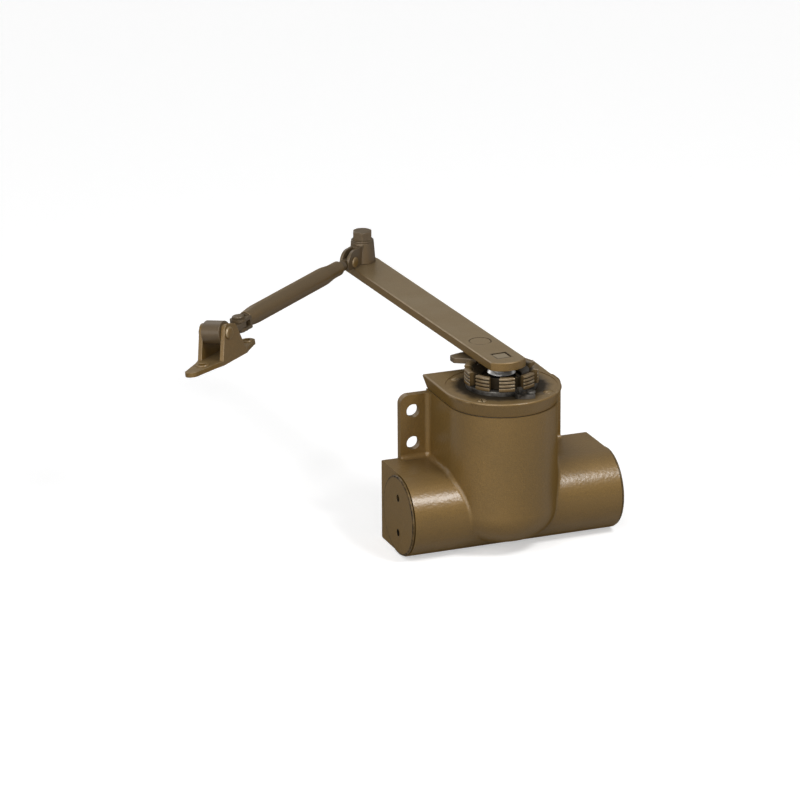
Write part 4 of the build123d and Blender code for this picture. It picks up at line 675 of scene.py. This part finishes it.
# %% [markdown]
# ## Turned pieces
# Pins, washers and the drawn tube are made by turning, so they are made here by turning too: a
# profile of radius and length is swept once around an axis. The corners of the profile are
# eased into small arcs before the sweep, which gives the tube its soft swaged ends and the pins
# their domed heads without any modifier.

# %% Helpers that ease a profile and sweep it
MERGE = 0.001 * MM
SLIVER = 0.0005 * MM


def eased(profile, radius, steps=5):
    """Replaces each corner of a closed profile by a small arc."""
    soft = []
    for index, corner in enumerate(profile):
        corner = Vector(corner)
        before = Vector(profile[index - 1]) - corner
        after = Vector(profile[(index + 1) % len(profile)]) - corner
        reach = min(radius, 0.45 * before.length, 0.45 * after.length)
        start = corner + before.normalized() * reach
        end = corner + after.normalized() * reach
        for step in range(steps + 1):
            t = step / steps
            soft.append(start.lerp(corner, t).lerp(corner.lerp(end, t), t))
    return soft


def frame_on(spot, way):
    """A matrix whose Z runs along a direction from a point."""
    turn = way.to_track_quat("Z", "Y").to_matrix().to_4x4()
    return Matrix.Translation(spot) @ turn


def closed_around(name, shape, rows):
    """A closed mesh from equal rows of points that follow each other around an axis."""
    for here, there in zip(rows, rows[1:] + rows[:1]):
        for index in range(len(here)):
            after = (index + 1) % len(here)
            shape.faces.new((here[index], there[index], there[after], here[after]))
    bmesh.ops.remove_doubles(shape, verts=shape.verts, dist=MERGE)
    bmesh.ops.dissolve_degenerate(shape, edges=shape.edges, dist=SLIVER)
    bmesh.ops.recalc_face_normals(shape, faces=shape.faces)
    mesh = bpy.data.meshes.new(name)
    shape.to_mesh(mesh)
    shape.free()
    return mesh


def swept(name, profile_mm, spot, way, segments=72):
    """A piece of revolution; the profile is (radius, length along the axis)."""
    place = frame_on(spot, way)
    shape = bmesh.new()
    rings = []
    for step in range(segments):
        angle = 2 * math.pi * step / segments
        turn = Vector((math.cos(angle), math.sin(angle), 0))
        rings.append([shape.verts.new(place @ ((turn * r + UP * z) * MM)) for r, z in profile_mm])
    piece = new_piece(name, closed_around(name, shape, rings))
    piece.modifiers.new("even_shading", "WEIGHTED_NORMAL")
    return plain_mesh(piece)


print("turning helpers ready")

# %% [markdown]
# ## The telescopic tube
# The tube is drawn down to a neck where the rod goes in, and swaged onto the clevis stem at its
# other end. Lengths run along the forearm from the elbow's axis, so the numbers are those that
# a tape measure along the forearm would give.

# %% Forearm tube
TUBE_PROFILE = [
    (4.06, 39.0),
    (5.2, 39.0),
    (5.8, 40.0),
    (5.8, 52.0),
    (7.15, 63.0),
    (7.15, 170.6),
    (5.9, 183.6),
    (5.07, 183.6),
    (5.07, 172.2),
    (5.55, 170.6),
    (5.55, 64.6),
    (4.06, 61.4),
]
tube = swept("forearm_tube_finished", eased(TUBE_PROFILE, 4.0), elbow_spot, forearm_way)
settle(tube, bar_paint, ["forearm_tube"])

# %% [markdown]
# ## Pins and the washer
# Each pin was riveted over, so its heads are low domes. The foot's pin has a taller drawn head
# on top, as the photograph shows it.

# %% Pins of the elbow, the clevis and the barrel
def riveted(shank_r, head_r, head_from, head_to):
    """Profile of a pin with a domed head at both ends."""
    half = [
        (0.0, head_to),
        (0.62 * head_r, head_to - 0.12),
        (0.9 * head_r, head_to - 0.45),
        (head_r, head_from + 0.35),
        (head_r - 0.15, head_from),
        (shank_r, head_from),
    ]
    return half + [(r, -z) for r, z in reversed(half)]


elbow_pin = swept("elbow_pin_finished", riveted(3.0, 4.4, 4.22, 5.52), elbow_pin_spot, elbow_pin_way, 48)
settle(elbow_pin, small_paint, ["elbow_pin"])
barrel_pin = swept("barrel_pin_finished", riveted(3.4, 4.9, 11.32, 13.02), barrel_spot, barrel_way, 48)
settle(barrel_pin, small_paint, ["barrel_pin"])
FOOT_PIN_PROFILE = [
    (0.0, 7.22),
    (3.9, 7.22),
    (4.8, 6.5),
    (4.8, 4.82),
    (3.2, 4.82),
    (3.2, -4.82),
    (4.2, -4.82),
    (4.2, -5.9),
    (3.4, -6.22),
    (0.0, -6.22),
]
foot_pin = swept("foot_pin_finished", eased(FOOT_PIN_PROFILE, 0.5, 3), foot_pin_spot, foot_pin_way, 48)
settle(foot_pin, dull_paint, ["foot_pin"])
WASHER_LOW = 165.7 + ROW_BASE - elbow_spot.z / MM
WASHER_TOP = WASHER_LOW + 1.2
WASHER_PROFILE = [(4.86, WASHER_LOW), (8.8, WASHER_LOW), (8.8, WASHER_TOP), (4.86, WASHER_TOP)]
washer = swept("elbow_washer_finished", eased(WASHER_PROFILE, 0.35, 3), elbow_spot, UP, 64)
settle(washer, dull_paint, ["elbow_washer"])

# %% [markdown]
# ## Bolt head and nut
# The corners of a hexagon bolt are turned off at thirty degrees, which leaves a round face on
# top and a curved edge on every flat. The head is made as a grid around the axis: at each angle
# the hexagon gives the radius, and the cone gives how far the corner drops.

# %% Hexagons with turned corners
HEX_FLATS = 14.3
CORNER_CUT = math.tan(math.radians(30))
FACE_SHARE = 0.94
HEAD_TURN = 38
NUT_TURN = 50


def hexagon(name, low, high, turn_deg, bore_r, cut_low, segments=144):
    """A hexagon between two heights from the elbow, with a bore and one or both ends turned off."""
    shape = bmesh.new()
    face_r = FACE_SHARE * HEX_FLATS / 2
    rows = []
    for step in range(segments):
        angle = 360 * step / segments
        off_flat = math.radians((angle - turn_deg + 30) % 60 - 30)
        edge_r = HEX_FLATS / 2 / math.cos(off_flat)
        drop = (edge_r - face_r) * CORNER_CUT
        low_drop = drop if cut_low else 0.0
        low_r = face_r if cut_low else edge_r
        profile = [(bore_r, high), (face_r, high), (edge_r, high - drop)]
        profile += [(edge_r, low + low_drop), (low_r, low), (bore_r, low)]
        spin = math.radians(angle)
        aim = Vector((math.cos(spin), math.sin(spin), 0))
        rows.append([shape.verts.new(elbow_spot + (aim * r + UP * z) * MM) for r, z in profile])
    piece = new_piece(name, closed_around(name, shape, rows))
    return round_over(piece, radius_mm=0.25, segments=2, angle_deg=20)


def from_elbow(row_height):
    """A height above the cylinder's underside, counted from the elbow's point."""
    return row_height + ROW_BASE - elbow_spot.z / MM


head = hexagon("elbow_bolt_finished", from_elbow(166.9), from_elbow(174.1), HEAD_TURN, 0.0, False)
SHANK = [(0.0, 137.4), (4.0, 137.4), (4.76, 138.2), (4.76, 166.95), (0.0, 166.95)]
shank_profile = [(r, from_elbow(z)) for r, z in SHANK]
shank = swept("bolt_shank", shank_profile, elbow_spot, UP, 48)
joined = bmesh.new()
joined.from_mesh(head.data)
joined.from_mesh(shank.data)
joined.to_mesh(head.data)
joined.free()
bpy.data.objects.remove(shank)
settle(head, dull_paint, ["elbow_bolt"])
nut = hexagon("elbow_nut_finished", from_elbow(138.1), from_elbow(142.6), NUT_TURN, 4.78, True)
settle(nut, small_paint, ["elbow_nut"])

# %% [markdown]
# ## A tree that repeats a piece around the spindle
# The crown has nine equal lobes and the cover has four equal screws, each set around the same
# axis. That is a rule, so a small Geometry Nodes tree does it: it takes one piece drawn on the
# axis, puts a copy on each of a number of points, turns each copy a step further, and moves the
# whole ring to its place. The instances are realized, because a plain mesh is handed on.

# %% Geometry Nodes: ring of copies
ring_tree = bpy.data.node_groups.new("ring_of_copies", "GeometryNodeTree")
ring_socket = {}
for socket, kind in (
    ("Geometry", "Geometry"),
    ("Count", "Int"),
    ("First Turn", "Float"),
    ("Centre", "Vector"),
    ("Finish", "Material"),
):
    made = ring_tree.interface.new_socket(socket, in_out="INPUT", socket_type="NodeSocket" + kind)
    ring_socket[socket] = made.identifier
ring_tree.interface.new_socket("Geometry", in_out="OUTPUT", socket_type="NodeSocketGeometry")
given = ring_tree.nodes.new("NodeGroupInput").outputs
out = ring_tree.nodes.new("NodeGroupOutput").inputs


def grow(kind, values=None, **settings):
    """Adds one node to the ring's tree."""
    made = ring_tree.nodes.new(kind)
    for name, setting in settings.items():
        setattr(made, name, setting)
    return fill_inputs(ring_tree, made, values or {}).outputs


points = grow("GeometryNodeMeshLine", {"Count": given["Count"], "Offset": (0, 0, 0)})["Mesh"]
number = grow("GeometryNodeInputIndex")[0]
one_step = grow("ShaderNodeMath", {0: 2 * math.pi, 1: given["Count"]}, operation="DIVIDE")[0]
turn_sum = {0: number, 1: one_step, 2: given["First Turn"]}
steps = grow("ShaderNodeMath", turn_sum, operation="MULTIPLY_ADD")[0]
turns = grow("ShaderNodeCombineXYZ", {"Z": steps})[0]
layout = {"Points": points, "Instance": given["Geometry"], "Rotation": turns}
copies = grow("GeometryNodeInstanceOnPoints", layout)[0]
solid = grow("GeometryNodeRealizeInstances", {"Geometry": copies})[0]
placed = grow("GeometryNodeTransform", {"Geometry": solid, "Translation": given["Centre"]})[0]
finished = grow("GeometryNodeSetMaterial", {"Geometry": placed, "Material": given["Finish"]})[0]
ring_tree.links.new(finished, out["Geometry"])


def ring_of(piece, count, first_deg, material):
    """Repeats a piece drawn on the axis around the spindle."""
    maker = piece.modifiers.new("ring", "NODES")
    maker.node_group = ring_tree
    maker[ring_socket["Count"]] = count
    maker[ring_socket["First Turn"]] = math.radians(first_deg)
    maker[ring_socket["Centre"]] = (spindle_spot.x, spindle_spot.y, 0.0)
    maker[ring_socket["Finish"]] = material
    return plain_mesh(piece)


print("tree:", ring_tree.name, "nodes", len(ring_tree.nodes))

# %% [markdown]
# ## The lobes of the crown
# Each lobe is a block of a thick ring: grooved on its outside for a spanner, flat on top and
# sloping inwards. Its two ends are parallel to the gap, not to the radius, so the angle that it
# fills depends on the distance from the axis. A section is drawn once and laid at a row of
# steps across the lobe, and the last two steps are drawn in a little, which rounds the ends.

# %% One lobe, then nine
LOBES = 9
FIRST_GAP = -83.7
LOBE_R = 28.0
LOBE_IN = 20.6
GAP_HALF = LOBE_R * math.sin(math.radians(7.5))
LOBE_LOW = 129.3 + ROW_BASE
LOBE_TOP = 140.0 + ROW_BASE
GROOVE_PITCH = (LOBE_TOP - LOBE_LOW) / 4
section = [(LOBE_IN, LOBE_LOW), (27.6, LOBE_LOW), (LOBE_R, LOBE_LOW + 0.4)]
for row in (1, 2, 3):
    middle = LOBE_LOW + 0.4 + row * GROOVE_PITCH
    section += [(LOBE_R, middle - 0.75), (27.75, middle - 0.5), (27.2, middle - 0.3)]
    section += [(27.2, middle + 0.3), (27.75, middle + 0.5), (LOBE_R, middle + 0.75)]
section += [(LOBE_R, LOBE_TOP - 0.7), (27.8, LOBE_TOP - 0.2), (27.3, LOBE_TOP)]
section += [(24.7, LOBE_TOP), (24.2, LOBE_TOP - 0.15), (LOBE_IN, LOBE_TOP - 2.34)]
section_middle = Vector((24.3, (LOBE_LOW + LOBE_TOP) / 2))
HALF_ACROSS = [(0.5, 0.0), (0.95, 0.0), (0.985, 0.15), (1.0, 0.45)]
ACROSS = [(-share, drawn_in) for share, drawn_in in reversed(HALF_ACROSS)]
ACROSS += [(0.0, 0.0)] + HALF_ACROSS
shape = bmesh.new()
slices = []
for share, drawn_in in ACROSS:
    one = []
    for r, z in section:
        inward = section_middle - Vector((r, z))
        r_in, z_in = Vector((r, z)) + inward.normalized() * drawn_in
        half = math.pi / LOBES - math.asin(GAP_HALF / r)
        spin = share * half
        spot = Vector((r_in * math.cos(spin), r_in * math.sin(spin), z_in))
        one.append(shape.verts.new(spot * MM))
    slices.append(one)
for here, there in zip(slices, slices[1:]):
    for index in range(len(section)):
        after = (index + 1) % len(section)
        shape.faces.new((here[index], here[after], there[after], there[index]))
shape.faces.new(slices[0])
shape.faces.new(list(reversed(slices[-1])))
bmesh.ops.recalc_face_normals(shape, faces=shape.faces)
lobe_mesh = bpy.data.meshes.new("one_lobe")
shape.to_mesh(lobe_mesh)
shape.free()
lobes = ring_of(new_piece("crown_lobes", lobe_mesh), LOBES, FIRST_GAP + 180 / LOBES, crown_paint)
lobes.modifiers.new("even_shading", "WEIGHTED_NORMAL")
plain_mesh(lobes)
settle(lobes, crown_paint, ["ratchet_wheel"])

# %% [markdown]
# ## The crown's collar
# Under the lobes a turned collar reaches down through the cover to the closing spring. It is a
# plain turned piece, dished on top, with a shoulder where the lobes stand.

# %% Collar under the lobes
COLLAR_PROFILE = [
    (12.0, 98.5 + ROW_BASE),
    (20.0, 98.5 + ROW_BASE),
    (20.0, LOBE_LOW),
    (21.0, LOBE_LOW),
    (21.0, LOBE_TOP - 2.1),
    (15.0, 134.2 + ROW_BASE),
    (15.0, 131.9 + ROW_BASE),
    (12.0, 131.9 + ROW_BASE),
]
collar = swept("crown_collar", eased(COLLAR_PROFILE, 0.5, 3), arm_top_centre, UP, 96)
settle(collar, crown_paint, ["ratchet_wheel"])

# %% [markdown]
# ## Cover screws
# Four countersunk screws hold the cover. One is turned, its slot is cut with a boolean, and the
# same tree sets the four, each turned with its place on the ring.

# %% One screw, then four
HEAD_TOP = 125.2 + ROW_BASE
SCREW_RING = 37.4
SCREWS = 4
FIRST_SCREW = 45
SLOT_CUT = (9 * MM, 0.9 * MM, 1.8 * MM)
SLOT_TURN = 30
screw_spot = Vector((SCREW_RING * MM, 0, 0))
SCREW_END = 103.4 + ROW_BASE
SCREW_PROFILE = [(0.0, SCREW_END), (1.6, SCREW_END), (2.0, SCREW_END + 0.6), (2.0, HEAD_TOP - 1.8)]
SCREW_PROFILE += [(3.6, HEAD_TOP - 0.15), (3.6, HEAD_TOP), (0.0, HEAD_TOP)]
screw = swept("cover_screws_finished", SCREW_PROFILE, screw_spot, UP, 40)
slot_mesh = bpy.data.meshes.new("slot_cutter")
shape = bmesh.new()
bmesh.ops.create_cube(shape, size=1.0)
bmesh.ops.scale(shape, verts=shape.verts, vec=SLOT_CUT)
slot_turn = Matrix.Rotation(math.radians(SLOT_TURN), 3, "Z")
bmesh.ops.rotate(shape, verts=shape.verts, cent=(0, 0, 0), matrix=slot_turn)
bmesh.ops.translate(shape, verts=shape.verts, vec=screw_spot + UP * HEAD_TOP * MM)
shape.to_mesh(slot_mesh)
shape.free()
slot_cutter = new_piece("slot_cutter", slot_mesh)
cut = screw.modifiers.new("slot", "BOOLEAN")
cut.object = slot_cutter
cut.operation = "DIFFERENCE"
plain_mesh(screw)
bpy.data.objects.remove(slot_cutter)
ring_of(screw, SCREWS, FIRST_SCREW, small_paint)
settle(screw, small_paint, ["cover_screws"])

# %% [markdown]
# ## Floor and world
# The photograph is a cut-out on white, so the floor is a pale sheet that keeps a soft shadow,
# and the world is white where the camera looks straight at it. The camera sees a paler sheet
# than the object does: a white floor would throw its light up at the underside and wash out the
# lower edges. The rest of the white is a little glow, for the camera and, much weaker, for
# reflections.

# %% Floor and world
FLOOR_GAP = 0.3 * MM
FLOOR_REACH = 6.0
floor_z = cad_box[0][2] - FLOOR_GAP
floor_mesh = bpy.data.meshes.new("floor")
corners = [(x * FLOOR_REACH, y * FLOOR_REACH, floor_z) for x, y in ((-1, -1), (1, -1), (1, 1), (-1, 1))]
floor_mesh.from_pydata(corners, [], [(0, 1, 2, 3)])
floor = bpy.data.objects.new("floor", floor_mesh)
scene.collection.objects.link(floor)
floor_paint, tree, shader, where = new_material("pale_floor")
FLOOR_SEEN = 0.78
FLOOR_BOUNCE = 0.35
FLOOR_LIFT = 0.45
MIRRORED = 0.12
seen = put(tree, "LightPath").outputs
sheet = mix_colour(tree, seen["Is Camera Ray"], (FLOOR_BOUNCE,) * 3 + (1,), (FLOOR_SEEN,) * 3 + (1,))
fill_inputs(tree, shader, {"Base Color": sheet, "Roughness": 0.9, "Specular IOR Level": 0.0})
mirrored = sums(tree, "MAXIMUM", seen["Is Glossy Ray"], seen["Is Transmission Ray"])
seen_at_all = sums(tree, "MULTIPLY_ADD", mirrored, MIRRORED, seen["Is Camera Ray"])
lift = put(tree, "Emission", {"Strength": sums(tree, "MULTIPLY", seen_at_all, FLOOR_LIFT)}).outputs[0]
both = put(tree, "AddShader", {0: shader.outputs[0], 1: lift}).outputs[0]
tree.links.new(both, tree.nodes["Material Output"].inputs["Surface"])
floor_mesh.materials.append(floor_paint)

WORLD_LIGHT = 0.22
world = bpy.data.worlds.new("white_studio")
world.use_nodes = True
scene.world = world
studio = world.node_tree
seen = put(studio, "LightPath").outputs
mirrored = sums(studio, "MAXIMUM", seen["Is Glossy Ray"], seen["Is Transmission Ray"])
sight = sums(studio, "MULTIPLY_ADD", mirrored, MIRRORED, seen["Is Camera Ray"])
studio_light = sums(studio, "MULTIPLY_ADD", sight, 1.0 - WORLD_LIGHT, WORLD_LIGHT)
fill_inputs(studio, studio.nodes["Background"], {"Color": (1, 1, 1, 1), "Strength": studio_light})
print("floor at", round(floor_z / MM, 1), "mm")

# %% [markdown]
# ## Lamps
# The pale band along the cylinder sits where its surface leans back by about 37 degrees. A
# mirror at that place would send the camera's look up to the right, to 48 degrees above the
# horizon, so that is where the key hangs. It is a small round lamp only a metre away and aimed
# at the left end, so the band fades to the right as it does in the photograph. A broad fill in
# front and to the left lights the rest as evenly as a tent of white cloth would. Two weak ones,
# high at the left and behind, bring up the edges and the level tops.

# %% Soft lamps
def way_to(azimuth, elevation):
    """The direction towards a lamp or the camera; azimuth 0 is in front, 90 to the right."""
    a, e = math.radians(azimuth), math.radians(elevation)
    return Vector((math.sin(a) * math.cos(e), -math.cos(a) * math.cos(e), math.sin(e)))


def soft_sun(name, azimuth, elevation, spread, strength):
    """A wide, even lamp from one direction."""
    data = bpy.data.lights.new(name, "SUN")
    data.angle = math.radians(spread)
    data.energy = strength
    lamp = bpy.data.objects.new(name, data)
    lamp.rotation_euler = way_to(azimuth, elevation).to_track_quat("Z", "Y").to_euler()
    scene.collection.objects.link(lamp)


KEY_AZIMUTH = 30
KEY_ELEVATION = 48
KEY_DISTANCE = 1.0
KEY_SIZE = 0.28
KEY_POWER = 5.0
KEY_AIM = Vector((-60, -60, -25)) * MM
key_data = bpy.data.lights.new("key", "AREA")
key_data.shape = "DISK"
key_data.size = KEY_SIZE
key_data.energy = KEY_POWER
key = bpy.data.objects.new("key", key_data)
key_way = way_to(KEY_AZIMUTH, KEY_ELEVATION)
key.location = KEY_AIM + key_way * KEY_DISTANCE
key.rotation_euler = key_way.to_track_quat("Z", "Y").to_euler()
scene.collection.objects.link(key)
soft_sun("fill", azimuth=-46, elevation=13, spread=70, strength=2.65)
soft_sun("edge", azimuth=-50, elevation=60, spread=14, strength=0.35)
soft_sun("back", azimuth=192, elevation=24, spread=60, strength=0.72)
scene.view_settings.view_transform = "Standard"

# %% [markdown]
# ## The camera of the photograph
# The lines of the cylinder, the cover and the arm were used to find where the photographer
# stood: well back with a long lens, a little to the left and above. The lens is shifted so that
# the closer falls in the same place of a square picture without turning the camera.

# %% Camera
CAMERA_AZIMUTH = -22.397
CAMERA_ELEVATION = 19.455
CAMERA_DISTANCE = 3.6869
PICTURE = 800
FOCAL_PIXELS = 4876.6
SENSOR = 36.0
LOOK_POINT = Vector((5.6 * MM, 0, -12 * MM))
LOOK_PIXEL = (484.89, 429.28)
back = way_to(CAMERA_AZIMUTH, CAMERA_ELEVATION)
camera_data = bpy.data.cameras.new("photo_camera")
camera_data.sensor_width = SENSOR
camera_data.lens = SENSOR * FOCAL_PIXELS / PICTURE
camera_data.shift_x = (PICTURE / 2 - LOOK_PIXEL[0]) / PICTURE
camera_data.shift_y = (LOOK_PIXEL[1] - PICTURE / 2) / PICTURE
camera = bpy.data.objects.new("photo_camera", camera_data)
camera.location = LOOK_POINT + back * CAMERA_DISTANCE
camera.rotation_euler = back.to_track_quat("Z", "Y").to_euler()
scene.collection.objects.link(camera)
scene.camera = camera
print("lens", round(camera_data.lens, 1), "mm at", [round(c, 3) for c in camera.location])
